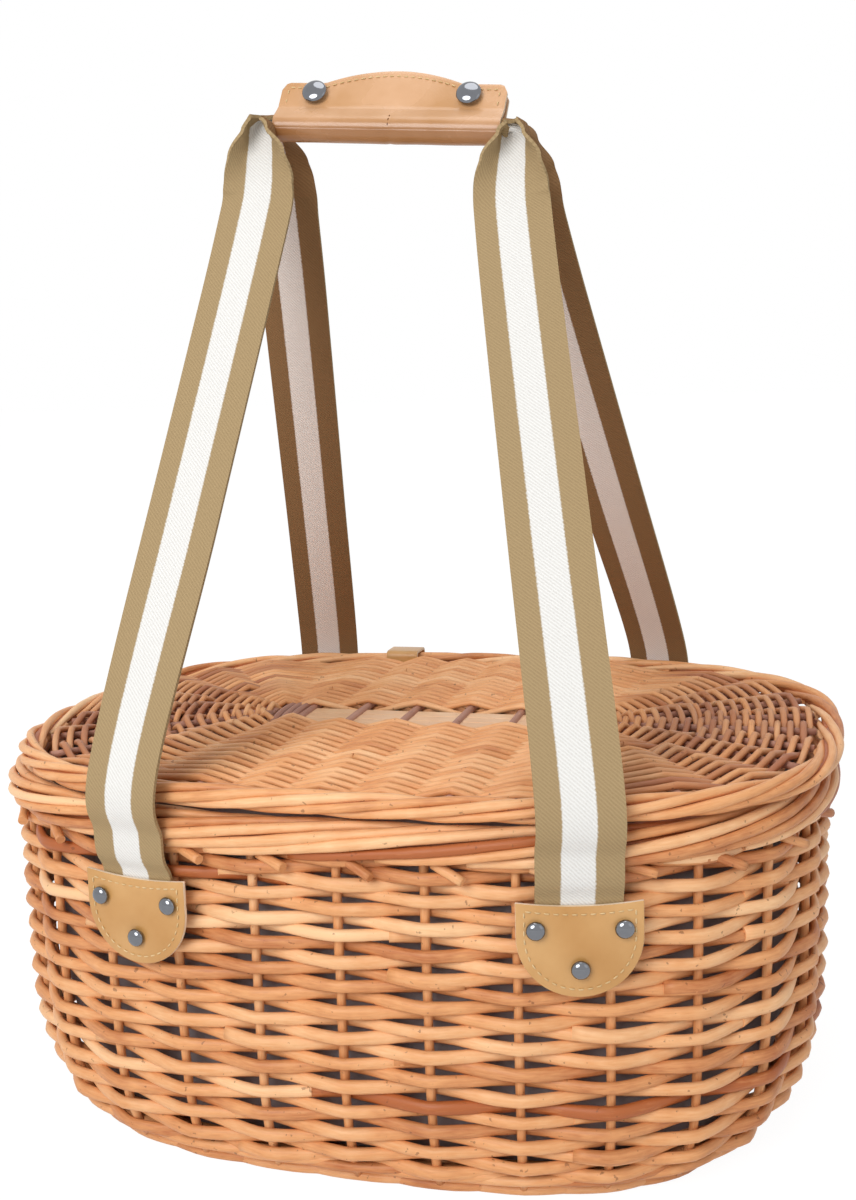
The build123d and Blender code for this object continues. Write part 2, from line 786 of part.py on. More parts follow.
def strap_leg(tab, front, hand):
    # Sections of one leg from the tab upward: plane with x across the strap, and corners
    rest = layer_gap + webbing_thickness / 2
    outside = rim_out - wall_face + strap_clear + webbing_thickness / 2
    across = tab.x_dir * front
    full = flat_strap(webbing_width, webbing_thickness)
    places = ((fold_gap, rest), (wall_top - tab_top - strap_under_rim, outside),
              (lid_top - tab_top + strap_over_lid, outside))
    sections = [
        (Plane(tab.from_local_coords((0, rise, out)), x_dir=across, z_dir=up), full)
        for rise, out in places
    ]
    grip_end = grip_centre + grip_along * (hand * grip_length / 2) - grip_up * roll_drop
    rising = (grip_end - sections[-1][0].origin).normalized()
    normal = rising.cross(grip_along).normalized()
    inward = normal * -front
    gathered = flat_strap(strap_gather_width, strap_gather_thickness)
    half_way = (rising + grip_up).normalized()
    corner_normal = half_way.cross(grip_along) * -front
    turning = (half_way - grip_along * hand).normalized()
    corner = grip_end + grip_along * (hand * strap_out) - half_way * strap_corner_drop
    mouth = grip_end + grip_along * (hand * strap_overhang)
    mouth += grip_back * (-front * (bundle_thickness + bundle_gap) / 2)
    near = grip_end - rising * strap_near_grip + grip_along * hand + inward * strap_apart
    bunched = grip_end - rising * strap_gather + inward * strap_apart
    bunched += grip_along * (hand * strap_out * strap_out_bunched)
    turned_over = corner + corner_normal * strap_apart
    leaning = (half_way * hand + grip_along).normalized()
    rolling = normal.cross(grip_along) * -1
    folded = flat_strap((strap_gather_width + bundle_height) / 2, strap_gather_thickness)
    entering = flat_strap(bundle_height, bundle_thickness)
    sections += [
        (Plane(near, x_dir=grip_along, z_dir=rolling), full),
        (Plane(bunched, x_dir=grip_along, z_dir=rolling), gathered),
        (Plane(turned_over, x_dir=leaning, z_dir=turning), folded),
        (Plane(mouth, x_dir=grip_up * hand, z_dir=grip_along * -hand), entering),
    ]
    return sections


def turned_back(sections):
    # The same sections followed the other way
    return [
        (Plane(plane.origin, x_dir=plane.x_dir * -1, z_dir=plane.z_dir * -1), corners)
        for plane, corners in reversed(sections)
    ]


for name, front in (("front", 1), ("rear", -1)):
    left_leg = strap_leg(tabs[name + "_left"], front, -1)
    right_leg = strap_leg(tabs[name + "_right"], front, 1)
    strap = lofted_rod(left_leg + turned_back(right_leg))
    with BuildPart() as strap_webbing:
        add(strap)
    strap_webbing.part.label = name + "_webbing"
    export_step(strap_webbing.part, f"parts/{name}_webbing.step")
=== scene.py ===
# Oval willow picnic basket with a hinged lid, a cloth lining and a webbing handle.
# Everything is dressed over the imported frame. Sizes in the settings are in millimetres.
import math
import random
from bisect import bisect_right

import bpy
import numpy as np
from mathutils import Matrix, Vector, noise


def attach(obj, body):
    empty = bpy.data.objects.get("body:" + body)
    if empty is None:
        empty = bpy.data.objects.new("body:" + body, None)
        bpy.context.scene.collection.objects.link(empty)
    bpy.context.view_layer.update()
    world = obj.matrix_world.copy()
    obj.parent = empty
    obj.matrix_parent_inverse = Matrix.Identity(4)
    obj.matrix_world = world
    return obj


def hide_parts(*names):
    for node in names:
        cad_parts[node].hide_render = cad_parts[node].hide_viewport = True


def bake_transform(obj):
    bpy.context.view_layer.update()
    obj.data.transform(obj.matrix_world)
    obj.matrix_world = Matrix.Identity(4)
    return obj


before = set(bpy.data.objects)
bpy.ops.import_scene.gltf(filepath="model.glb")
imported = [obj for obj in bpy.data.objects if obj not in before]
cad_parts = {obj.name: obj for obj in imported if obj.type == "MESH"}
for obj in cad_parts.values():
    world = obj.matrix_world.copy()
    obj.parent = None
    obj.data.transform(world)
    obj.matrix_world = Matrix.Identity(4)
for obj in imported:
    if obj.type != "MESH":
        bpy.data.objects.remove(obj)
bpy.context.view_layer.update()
random.seed(11)
mm = 0.001
print("frame loaded")

basket = {
    "halfX": 206.8, "halfY": 155.3, "power": 2.8, "stakes": 30,
    "turnInX": 36.0, "turnInY": 17.0, "turnInPower": 7.5,
    "wallTop": 169.0, "rimTop": 183.0, "rimFace": 12.4, "wallFace": 8.1,
}
lidSize = {
    "halfX": 216.0, "halfY": 165.0, "shift": 5.0, "middle": 190.0, "halfHeight": 6.0, "borderWidth": 14.0,
}

# Camera and light
view = {
    "place": (0.1992, -0.7181, 0.3707), "target": (0.00697, 0.0, 0.25009),
    "roll": -1.7, "lens": 41.8, "shiftX": -0.005, "shiftY": 0.009,
}


def addCamera():
    bpy.ops.object.camera_add(location=view["place"])
    camera = bpy.context.object
    camera.name = "photoCamera"
    look = Vector(view["target"]) - Vector(view["place"])
    turn = look.to_track_quat("-Z", "Y").to_matrix().to_4x4()
    roll = Matrix.Rotation(math.radians(view["roll"]), 4, "Z")
    camera.matrix_world = Matrix.Translation(view["place"]) @ turn @ roll
    camera.data.sensor_fit = "VERTICAL"
    camera.data.sensor_height = 36
    camera.data.lens = view["lens"]
    camera.data.shift_x = view["shiftX"]
    camera.data.shift_y = view["shiftY"]
    camera.data.clip_start = 0.01
    bpy.context.scene.camera = camera


lampAim = (0, 0, 0.15)
lamps = [
    {"name": "keyLamp", "place": (-0.42, -1.85, 1.3), "size": 1.3, "power": 29},
    {"name": "rightLamp", "place": (1.7, -0.7, 0.9), "size": 1.2, "power": 1.5},
    {"name": "topLamp", "place": (0.1, -0.1, 2.2), "size": 1.3, "power": 9.5},
]


def addLamps():
    for lamp in lamps:
        bpy.ops.object.light_add(type="AREA", location=lamp["place"])
        light = bpy.context.object
        light.name = lamp["name"]
        light.data.shape = "DISK"
        light.data.size = lamp["size"]
        light.data.energy = lamp["power"]
        aim = Vector(lampAim) - Vector(lamp["place"])
        light.rotation_euler = aim.to_track_quat("-Z", "Y").to_euler()


# Shader nodes
def addNode(tree, kind, values=None, **settings):
    # A node with its own settings, then the values of its inputs. Text stands for a colour.
    node = tree.nodes.new("ShaderNode" + kind)
    for name, value in settings.items():
        setattr(node, name, value)
    for socket, value in (values or {}).items():
        node.inputs[socket].default_value = hexColor(value) if isinstance(value, str) else value
    return node


def hexColor(text):
    rgb = [int(text[i:i + 2], 16) / 255 for i in (0, 2, 4)]
    return tuple(c / 12.92 if c <= 0.04045 else ((c + 0.055) / 1.055) ** 2.4 for c in rgb) + (1.0,)


def wire(tree, *pairs):
    for start, end in pairs:
        tree.links.new(start, end)


def effectGroup(name, inputs, outputs):
    # A node group with its sockets, and its input and output nodes
    group = bpy.data.node_groups.new(name, "ShaderNodeTree")
    for direction, sockets in (("INPUT", inputs), ("OUTPUT", outputs)):
        for title, kind in sockets.items():
            group.interface.new_socket(title, in_out=direction, socket_type="NodeSocket" + kind)
    return group, group.nodes.new("NodeGroupInput"), group.nodes.new("NodeGroupOutput")


def newMaterial(name):
    material = bpy.data.materials.new(name)
    material.use_nodes = True
    return material, material.node_tree, material.node_tree.nodes["Principled BSDF"]


# Studio
studio = {"worldLight": 0.42, "floorSize": 60, "floorShade": 0.86, "floorGlow": 1.1, "glowShare": 0.86}
white = (1, 1, 1, 1)


def seenGroup():
    # 1 for the camera, a reflection or a look through something clear, 0 for the light they give
    group, given, out = effectGroup("seenByEye", {}, {"Seen": "Float"})
    path = addNode(group, "LightPath")
    direct = addNode(group, "Math", operation="MAXIMUM")
    mirrored = addNode(group, "Math", operation="MAXIMUM")
    wire(
        group,
        (path.outputs["Is Camera Ray"], direct.inputs[0]),
        (path.outputs["Is Transmission Ray"], direct.inputs[1]),
        (direct.outputs[0], mirrored.inputs[0]),
        (path.outputs["Is Glossy Ray"], mirrored.inputs[1]),
        (mirrored.outputs[0], out.inputs["Seen"]),
    )
    return group


seenByEye = seenGroup()


def addWorld():
    world = bpy.context.scene.world or bpy.data.worlds.new("studio")
    bpy.context.scene.world = world
    world.use_nodes = True
    tree = world.node_tree
    tree.nodes.clear()
    seen = addNode(tree, "Group", node_tree=seenByEye)
    soft = addNode(tree, "Background", {"Color": white, "Strength": studio["worldLight"]})
    bright = addNode(tree, "Background", {"Color": white, "Strength": 1.0})
    mix = addNode(tree, "MixShader")
    out = addNode(tree, "OutputWorld")
    wire(
        tree,
        (seen.outputs["Seen"], mix.inputs[0]),
        (soft.outputs[0], mix.inputs[1]),
        (bright.outputs[0], mix.inputs[2]),
        (mix.outputs[0], out.inputs[0]),
    )


def addFloor():
    bpy.ops.mesh.primitive_plane_add(size=studio["floorSize"], location=(0, 0, 0))
    floor = bpy.context.object
    floor.name = "studioFloor"
    material, tree, shader = newMaterial("paleFloor")
    shader.inputs["Base Color"].default_value = (*[studio["floorShade"]] * 3, 1)
    shader.inputs["Roughness"].default_value = 0.9
    seen = addNode(tree, "Group", node_tree=seenByEye)
    share = addNode(tree, "Math", {1: studio["glowShare"]}, operation="MULTIPLY")
    glow = addNode(tree, "Emission", {"Color": white, "Strength": studio["floorGlow"]})
    mix = addNode(tree, "MixShader")
    wire(
        tree,
        (seen.outputs["Seen"], share.inputs[0]),
        (share.outputs[0], mix.inputs[0]),
        (shader.outputs[0], mix.inputs[1]),
        (glow.outputs[0], mix.inputs[2]),
        (mix.outputs[0], tree.nodes["Material Output"].inputs["Surface"]),
    )
    floor.data.materials.append(material)


addCamera()
addLamps()
addWorld()
addFloor()
scene = bpy.context.scene
scene.view_settings.view_transform = "Standard"
print("studio ready")


# Surface effects. Each is a node group, and its materials set the group's inputs.
def shaded(tree, value, low, high, under, over):
    # From the colour under, where the value is low, to the colour over, where it is high
    share = addNode(tree, "MapRange", {"From Min": low, "From Max": high})
    mix = addNode(tree, "Mix", data_type="RGBA")
    wire(
        tree,
        (value, share.inputs["Value"]),
        (share.outputs[0], mix.inputs[0]),
        (under, mix.inputs[6]),
        (over, mix.inputs[7]),
    )
    return mix.outputs[2]


def tinted(tree, share, colour, tint, blend="MIX"):
    mix = addNode(tree, "Mix", data_type="RGBA", blend_type=blend)
    if isinstance(tint, tuple):
        mix.inputs[7].default_value = tint
    else:
        wire(tree, (tint, mix.inputs[7]))
    wire(tree, (share, mix.inputs[0]), (colour, mix.inputs[6]))
    return mix.outputs[2]


def roughBy(tree, given, out, mask):
    rough = addNode(tree, "MapRange")
    wire(
        tree,
        (mask, rough.inputs["Value"]),
        (given.outputs["Smooth"], rough.inputs["To Min"]),
        (given.outputs["Rough"], rough.inputs["To Max"]),
        (rough.outputs[0], out.inputs["Roughness"]),
    )


def raisedBy(tree, given, out, height, distance):
    bump = addNode(tree, "Bump", {"Distance": distance})
    wire(
        tree,
        (height, bump.inputs["Height"]),
        (given.outputs["Bump"], bump.inputs["Strength"]),
        (bump.outputs[0], out.inputs["Normal"]),
    )


finishInputs = {"Smooth": "Float", "Rough": "Float", "Bump": "Float"}
allOutputs = {"Colour": "Color", "Roughness": "Float", "Normal": "Vector"}
rodGrain = {"along": 40.0, "around": 5.0, "lines": 3.0, "blotches": 42.0, "specks": 310.0, "speckEdge": 0.06}


def rodGroup():
    # Fine lines that follow a rod, slow blotches, dark specks, the rod's own tone and its stain
    colours = {"Light": "Color", "Middle": "Color", "Dark": "Color", "Stain": "Color"}
    inputs = {**colours, "Speck Share": "Float", **finishInputs}
    group, given, out = effectGroup("rodSurface", inputs, allOutputs)
    place = addNode(group, "TexCoord")
    apart = addNode(group, "SeparateXYZ")
    along = addNode(group, "Math", {1: rodGrain["along"]}, operation="MULTIPLY")
    around = addNode(group, "Math", {1: rodGrain["around"]}, operation="MULTIPLY")
    joined = addNode(group, "CombineXYZ")
    lines = addNode(group, "TexNoise", {"Scale": rodGrain["lines"], "Detail": 5.0})
    blotch = addNode(group, "TexNoise", {"Scale": rodGrain["blotches"], "Detail": 3.0})
    speck = addNode(group, "TexNoise", {"Scale": rodGrain["specks"], "Detail": 2.0})
    above = addNode(group, "Math", {1: rodGrain["speckEdge"]}, operation="ADD")
    cut = addNode(group, "MapRange", interpolation_type="SMOOTHSTEP")
    spotShare = addNode(group, "Math", {1: 0.55}, operation="MULTIPLY")
    tone = addNode(group, "Attribute", attribute_name="rodTone")
    stained = addNode(group, "Attribute", attribute_name="rodStain")
    toned = addNode(group, "Math", {1: 0.44, 2: -0.14}, operation="MULTIPLY_ADD")
    withLines = addNode(group, "Math", {1: 0.42}, operation="MULTIPLY_ADD")
    total = addNode(group, "Math", {1: 0.5}, operation="MULTIPLY_ADD")
    wire(
        group,
        (place.outputs["UV"], apart.inputs[0]),
        (apart.outputs["X"], along.inputs[0]),
        (apart.outputs["Y"], around.inputs[0]),
        (along.outputs[0], joined.inputs["X"]),
        (around.outputs[0], joined.inputs["Y"]),
        (joined.outputs[0], lines.inputs["Vector"]),
        (place.outputs["Object"], blotch.inputs["Vector"]),
        (place.outputs["Object"], speck.inputs["Vector"]),
        (given.outputs["Speck Share"], above.inputs[0]),
        (given.outputs["Speck Share"], cut.inputs["From Min"]),
        (above.outputs[0], cut.inputs["From Max"]),
        (speck.outputs["Fac"], cut.inputs["Value"]),
        (cut.outputs[0], spotShare.inputs[0]),
        (tone.outputs["Fac"], toned.inputs[0]),
        (lines.outputs["Fac"], withLines.inputs[0]),
        (toned.outputs[0], withLines.inputs[2]),
        (blotch.outputs["Fac"], total.inputs[0]),
        (withLines.outputs[0], total.inputs[2]),
    )
    colour = shaded(group, total.outputs[0], 0.18, 0.55, given.outputs["Dark"], given.outputs["Middle"])
    colour = shaded(group, total.outputs[0], 0.55, 0.9, colour, given.outputs["Light"])
    colour = tinted(group, stained.outputs["Fac"], colour, given.outputs["Stain"])
    colour = tinted(group, spotShare.outputs[0], colour, hexColor("6B3A1C"))
    wire(group, (colour, out.inputs["Colour"]))
    roughBy(group, given, out, lines.outputs["Fac"])
    raisedBy(group, given, out, lines.outputs["Fac"], 0.0006)
    return group


def leatherGroup():
    # Clouded tan with fine pores, with painted shade: deeper by the attribute on the grip's roll, where it
    # faces down
    inputs = {"Colour": "Color", "Deep": "Color", **finishInputs}
    group, given, out = effectGroup("leatherSurface", inputs, allOutputs)
    place = addNode(group, "TexCoord")
    cloud = addNode(group, "TexNoise", {"Scale": 26.0, "Detail": 4.0})
    pores = addNode(group, "TexVoronoi", {"Scale": 1100.0})
    fine = addNode(group, "TexNoise", {"Scale": 520.0})
    both = addNode(group, "Math", operation="MULTIPLY")
    rollShade = addNode(group, "Attribute", attribute_name="paintedRollShade")
    wire(
        group,
        (place.outputs["Object"], cloud.inputs["Vector"]),
        (place.outputs["Object"], pores.inputs["Vector"]),
        (place.outputs["Object"], fine.inputs["Vector"]),
        (pores.outputs["Distance"], both.inputs[0]),
        (fine.outputs["Fac"], both.inputs[1]),
    )
    colour = shaded(group, cloud.outputs["Fac"], 0.3, 0.68, given.outputs["Deep"], given.outputs["Colour"])
    # Painted shade: the attribute multiplies the grip's roll towards a deeper tan
    colour = tinted(group, rollShade.outputs["Fac"], colour, (0.6, 0.49, 0.38, 1), "MULTIPLY")
    wire(group, (colour, out.inputs["Colour"]))
    roughBy(group, given, out, cloud.outputs["Fac"])
    raisedBy(group, given, out, both.outputs[0], 0.0003)
    return group


def metalGroup():
    # Fine wear that dulls the colour a little and changes the roughness
    inputs = {"Colour": "Color", "Smooth": "Float", "Rough": "Float"}
    group, given, out = effectGroup("metalSurface", inputs, {"Colour": "Color", "Roughness": "Float"})
    place = addNode(group, "TexCoord")
    wear = addNode(group, "TexNoise", {"Scale": 420.0, "Detail": 4.0})
    full = addNode(group, "Value")
    full.outputs[0].default_value = 1.0
    dull = tinted(group, full.outputs[0], given.outputs["Colour"], (0.86, 0.86, 0.86, 1), "MULTIPLY")
    colour = shaded(group, wear.outputs["Fac"], 0.0, 1.0, dull, given.outputs["Colour"])
    wire(group, (place.outputs["Object"], wear.inputs["Vector"]), (colour, out.inputs["Colour"]))
    roughBy(group, given, out, wear.outputs["Fac"])
    return group


def webbingGroup():
    # Three bands across the strap, twill ribs along it, all on the strap's own UV map in metres
    inputs = {"Edge": "Color", "Middle": "Color", "Bump": "Float"}
    group, given, out = effectGroup("webbingSurface", inputs, {"Colour": "Color", "Normal": "Vector"})
    uv = addNode(group, "TexCoord")
    apart = addNode(group, "SeparateXYZ")
    edge = addNode(group, "TexNoise", {"Scale": 900.0})
    wobble = addNode(group, "Math", {1: 0.0012}, operation="MULTIPLY_ADD")
    away = addNode(group, "Math", operation="ABSOLUTE")
    ribs = addNode(
        group, "TexWave", {"Scale": 330.0, "Distortion": 1.4, "Detail": 2.0},
        wave_type="BANDS", bands_direction="DIAGONAL",
    )
    threads = addNode(group, "TexNoise", {"Scale": 1500.0})
    shade = addNode(group, "Math", operation="MULTIPLY")
    wire(
        group,
        (uv.outputs["UV"], apart.inputs[0]),
        (uv.outputs["UV"], edge.inputs["Vector"]),
        (uv.outputs["UV"], ribs.inputs["Vector"]),
        (uv.outputs["UV"], threads.inputs["Vector"]),
        (edge.outputs["Fac"], wobble.inputs[0]),
        (apart.outputs["X"], wobble.inputs[2]),
        (wobble.outputs[0], away.inputs[0]),
        (ribs.outputs["Fac"], shade.inputs[0]),
        (threads.outputs["Fac"], shade.inputs[1]),
    )
    colour = shaded(group, away.outputs[0], 0.0070, 0.0077, given.outputs["Middle"], given.outputs["Edge"])
    colour = tinted(group, shade.outputs[0], colour, (0.72, 0.69, 0.66, 1), "MULTIPLY")
    wire(group, (colour, out.inputs["Colour"]))
    raisedBy(group, given, out, shade.outputs[0], 0.0004)
    return group


def clothGroup():
    # A fine plain weave in a softly clouded colour
    inputs = {"Colour": "Color", "Deep": "Color", "Bump": "Float"}
    group, given, out = effectGroup("clothSurface", inputs, {"Colour": "Color", "Normal": "Vector"})
    place = addNode(group, "TexCoord")
    weave = addNode(group, "TexChecker", {"Scale": 900.0})
    cloud = addNode(group, "TexNoise", {"Scale": 60.0, "Detail": 5.0})
    colour = shaded(group, cloud.outputs["Fac"], 0.3, 0.7, given.outputs["Deep"], given.outputs["Colour"])
    wire(
        group,
        (place.outputs["UV"], weave.inputs["Vector"]),
        (place.outputs["Object"], cloud.inputs["Vector"]),
        (colour, out.inputs["Colour"]),
    )
    raisedBy(group, given, out, weave.outputs["Fac"], 0.0003)
    return group


def surfaceMaterials(effect, constants, materials):
    # One material for each name, with the effect's values and constants on its own sockets
    made = []
    for name, values in materials.items():
        material, tree, shader = newMaterial(name)
        surface = addNode(tree, "Group", values, node_tree=effect)
        for socket, value in constants.items():
            shader.inputs[socket].default_value = value
        for start, end in (("Colour", "Base Color"), ("Roughness", "Roughness"), ("Normal", "Normal")):
            if start in surface.outputs:
                wire(tree, (surface.outputs[start], shader.inputs[end]))
        made.append(material)
    return made


willow, peeled, barked = surfaceMaterials(rodGroup(), {"Specular IOR Level": 0.42}, {
    "buffWillow": {
        "Light": "F6C796", "Middle": "E2A16A", "Dark": "AD6031", "Stain": "A06040",
        "Speck Share": 0.68, "Smooth": 0.36, "Rough": 0.62, "Bump": 0.25,
    },
    "peeledWillow": {
        "Light": "F6D3AC", "Middle": "E8B98E", "Dark": "CE9868", "Stain": "A87260",
        "Speck Share": 0.7, "Smooth": 0.32, "Rough": 0.58, "Bump": 0.2,
    },
    "brownWillow": {
        "Light": "C2917C", "Middle": "A97763", "Dark": "875644", "Stain": "7A4E40",
        "Speck Share": 0.68, "Smooth": 0.45, "Rough": 0.71, "Bump": 0.25,
    },
})
leather, gripLeather, cutLeather = surfaceMaterials(leatherGroup(), {}, {
    "tanLeather": {"Colour": "CFA066", "Deep": "BC884A", "Smooth": 0.22, "Rough": 0.44, "Bump": 0.16},
    "gripLeather": {"Colour": "D6A880", "Deep": "BE8C5A", "Smooth": 0.16, "Rough": 0.38, "Bump": 0.1},
    "cutLeather": {"Colour": "F1DFC8", "Deep": "E0C6A4", "Smooth": 0.62, "Rough": 0.84, "Bump": 0.4},
})
chrome, steel = surfaceMaterials(metalGroup(), {"Metallic": 1.0}, {
    "chrome": {"Colour": "7E8085", "Smooth": 0.042, "Rough": 0.105},
    "washerSteel": {"Colour": "A9A9A6", "Smooth": 0.204, "Rough": 0.51},
})
webbing, webbingShadedBack = surfaceMaterials(webbingGroup(), {"Roughness": 0.85, "Specular IOR Level": 0.2}, {
    "webbingFace": {"Edge": "AA926C", "Middle": "E8E7E4", "Bump": 0.5},
    # The back face's colours are painted shade and painted warm reflected light: a darker brown edge and a
    # pinker white than the face
    "webbingShadedBack": {"Edge": "8F6C48", "Middle": "F2E8E1", "Bump": 0.5},
})
liningCloth, sewingThread, seamThread = surfaceMaterials(
    clothGroup(), {"Roughness": 0.9, "Specular IOR Level": 0.15}, {
        "liningCloth": {"Colour": "A39A9B", "Deep": "8F8587", "Bump": 0.3},
        "sewingThread": {"Colour": "EBD0A2", "Deep": "D2B07C", "Bump": 0.3},
        "seamThread": {"Colour": "8A5730", "Deep": "6E4224", "Bump": 0.3},
    })
print("materials ready")


# Meshes
def meshObject(name, verts, faces, *materials):
    # A new object of this mesh, made the active one
    mesh = bpy.data.meshes.new(name)
    mesh.from_pydata(verts, [], faces)
    mesh.update()
    for material in materials:
        mesh.materials.append(material)
    obj = bpy.data.objects.new(name, mesh)
    bpy.context.collection.objects.link(obj)
    bpy.ops.object.select_all(action="DESELECT")
    obj.select_set(True)
    bpy.context.view_layer.objects.active = obj
    return obj


def setUvs(obj, name, uvs):
    # One pair for each corner of each face, in order
    layer = obj.data.uv_layers.new(name=name)
    layer.data.foreach_set("uv", np.array(uvs, np.float32).ravel())


def turnNormalsOut():
    bpy.ops.object.mode_set(mode="EDIT")
    bpy.ops.mesh.select_all(action="SELECT")
    bpy.ops.mesh.normals_make_consistent(inside=False)
    bpy.ops.object.mode_set(mode="OBJECT")


def applyModifier(obj, kind, name, **settings):
    modifier = obj.modifiers.new(name, kind)
    for key, value in settings.items():
        setattr(modifier, key, value)
    bpy.ops.object.modifier_apply(modifier=modifier.name)


def softenEdges(obj, width, segments, angle, smoothAngle):
    applyModifier(
        obj, "BEVEL", "softEdges", width=width * mm, segments=segments,
        limit_method="ANGLE", angle_limit=math.radians(angle),
    )
    bpy.ops.object.shade_smooth_by_angle(angle=math.radians(smoothAngle))


def dress(obj, body, slotName, *nodes):
    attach(obj, body)
    if nodes:
        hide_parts(*nodes)
    return obj


# The oval of the basket
def ovalRing(halfX, halfY, samples=1440):
    # Returns a function from a share of the way round to a point and its outward normal
    points = []
    for i in range(samples + 1):
        angle = 2 * math.pi * i / samples
        c, s = math.cos(angle), math.sin(angle)
        x = halfX * abs(c) ** (2 / basket["power"]) * (1 if c > 0 else -1)
        y = halfY * abs(s) ** (2 / basket["power"]) * (1 if s > 0 else -1)
        points.append((x, y))
    run = [0.0]
    for (ax, ay), (bx, by) in zip(points, points[1:]):
        run.append(run[-1] + math.hypot(bx - ax, by - ay))

    def at(share):
        distance = (share % 1.0) * run[-1]
        k = min(bisect_right(run, distance), samples) - 1
        part = (distance - run[k]) / (run[k + 1] - run[k])
        (ax, ay), (bx, by) = points[k], points[k + 1]
        x, y = ax + (bx - ax) * part, ay + (by - ay) * part
        return Vector((x, y, 0)), ovalNormal(halfX, halfY, x, y)

    return at, run[-1]


def ovalNormal(halfX, halfY, x, y):
    p = basket["power"] - 1
    nx = abs(x / halfX) ** p / halfX * (1 if x > 0 else -1)
    ny = abs(y / halfY) ** p / halfY * (1 if y > 0 else -1)
    return Vector((nx, ny, 0)).normalized()


def ovalY(halfX, halfY, x):
    return halfY * (1 - abs(x / halfX) ** basket["power"]) ** (1 / basket["power"])


def turnIn(z, normal):
    # How far the wall stands inside its top outline at this height
    share = max(0.0, 1 - z / basket["wallTop"]) ** basket["turnInPower"]
    return (basket["turnInX"] * normal.x ** 2 + basket["turnInY"] * normal.y ** 2) * share


wallRing, wallLength = ovalRing(basket["halfX"], basket["halfY"])
lidRing = ovalRing(lidSize["halfX"], lidSize["halfY"])[0]

# Rods. Each wave of a rod is its size, its rate and how far the rod's seed shifts it.
rodSwell = ((0.035, 0.11, 37), (0.025, 0.29, 91))


def waver(s, seed, waves):
    return sum(size * math.sin(s * rate + seed * shift) for size, rate, shift in waves)


def rodAlong(samples, wide, high, tone, seed, stain=0.0):
    # A rod from its samples, each a place and an outward direction
    path, outward = zip(*samples)
    return {"path": path, "outward": outward, "wide": wide, "high": high,
            "tone": tone, "seed": seed, "stain": stain}


def rodMesh(name, rods, material, sides=10):
    # One mesh of many round rods. A rod has its path, outward direction and half sizes at each
    # point, a tone from 0 dark to 1 light and a stain from 0 to 1 at each point.
    verts, faces, uvs, tones, stains, capFaces = [], [], [], [], [], []
    base = 0
    angles = np.linspace(0, 2 * np.pi, sides, endpoint=False)
    for rod in rods:
        path = np.array(rod["path"], float)
        outward = np.array(rod["outward"], float)
        n, phase = len(path), rod["seed"]
        along = np.gradient(path, axis=0)
        along /= np.linalg.norm(along, axis=1)[:, None]
        out = outward - np.sum(outward * along, axis=1)[:, None] * along
        out /= np.linalg.norm(out, axis=1)[:, None]
        rise = np.cross(along, out)
        run = np.concatenate([[0], np.cumsum(np.linalg.norm(np.diff(path, axis=0), axis=1))])
        swell = 1 + sum(size * np.sin(run * rate + phase * shift) for size, rate, shift in rodSwell)
        wide = np.array(rod["wide"], float) * swell
        high = np.array(rod["high"], float) * swell
        ring = (
            path[:, None, :]
            + (wide[:, None] * np.cos(angles))[:, :, None] * out[:, None, :]
            + (high[:, None] * np.sin(angles))[:, :, None] * rise[:, None, :]
        )
        verts.append(ring.reshape(-1, 3))
        tones.append(np.full(n * sides, rod["tone"]))
        stains.append(np.repeat(np.broadcast_to(np.array(rod["stain"], float), (n,)), sides))
        i, j = np.meshgrid(np.arange(n - 1), np.arange(sides), indexing="ij")
        k = (j + 1) % sides
        quads = np.stack([i * sides + j, i * sides + k, (i + 1) * sides + k, (i + 1) * sides + j], axis=-1)
        faces.extend((quads.reshape(-1, 4) + base).tolist())
        u0, u1 = (run[m] * mm + phase * 7 for m in (i, i + 1))
        v0, v1 = j / sides, (j + 1) / sides
        corners = [np.stack(pair, -1) for pair in ((u0, v0), (u0, v1), (u1, v1), (u1, v0))]
        uvs.append(np.stack(corners, axis=-2).reshape(-1, 2))
        for ringAt, order in ((0, -1), (n - 1, 1)):
            capFaces.append(len(faces))
            faces.append([base + ringAt * sides + j for j in range(sides)][::order])
            uvs.append(np.array([[phase * 5 + 0.002 * math.cos(a), 0.3 * math.sin(a)] for a in angles]))
        base += n * sides
    obj = meshObject(name, (np.concatenate(verts) * mm).tolist(), faces, material)
    mesh = obj.data
    smooth = np.ones(len(mesh.polygons), bool)
    smooth[capFaces] = False
    mesh.polygons.foreach_set("use_smooth", smooth)
    setUvs(obj, "rodUv", np.concatenate(uvs))
    for title, values in (("rodTone", tones), ("rodStain", stains)):
        attribute = mesh.attributes.new(title, "FLOAT", "POINT")
        attribute.data.foreach_set("value", np.concatenate(values).astype(np.float32))
    return obj


# Wall: rows of rods that change sides at each stake, and the stakes
wall = {
    "rows": 26, "firstRow": 14.2, "pitch": 6.05, "swing": 4.6, "straight": 0.7, "outward": 0.9,
    "depth": 2.4, "height": 3.1, "taper": 0.2, "stepsPerStake": 8, "levelJitter": 0.225,
    "rodsPerRow": 3, "joinStep": 7, "overrun": 0.42, "endLift": 0.9, "endRun": 0.8,
    "drift": ((0.5, 1.7, 20), (0.35, 0.61, 50)), "tone": (0.56, 0.3),
}
stake = {
    "radius": 2.2, "foot": 4.0, "aboveWall": 1.0, "points": 24, "drift": ((0.25, 0.5, 9),),
    "tone": (0.5, 0.15),
}


def stakeShare(s):
    # The share of the way round at the stake s
    return (s + 0.5) / basket["stakes"]


def wallPoint(share, z, out):
    point, normal = wallRing(share)
    place = point + normal * (out - turnIn(z, normal))
    return Vector((place.x, place.y, z)), normal


def bentOver(s, straight):
    # A rod's way in and out between stakes: nearly straight runs with a bend at each stake
    wave = math.cos(math.pi * s)
    return straight * (1 - 2 * math.acos(max(-1.0, min(1.0, wave))) / math.pi) + (1 - straight) * wave


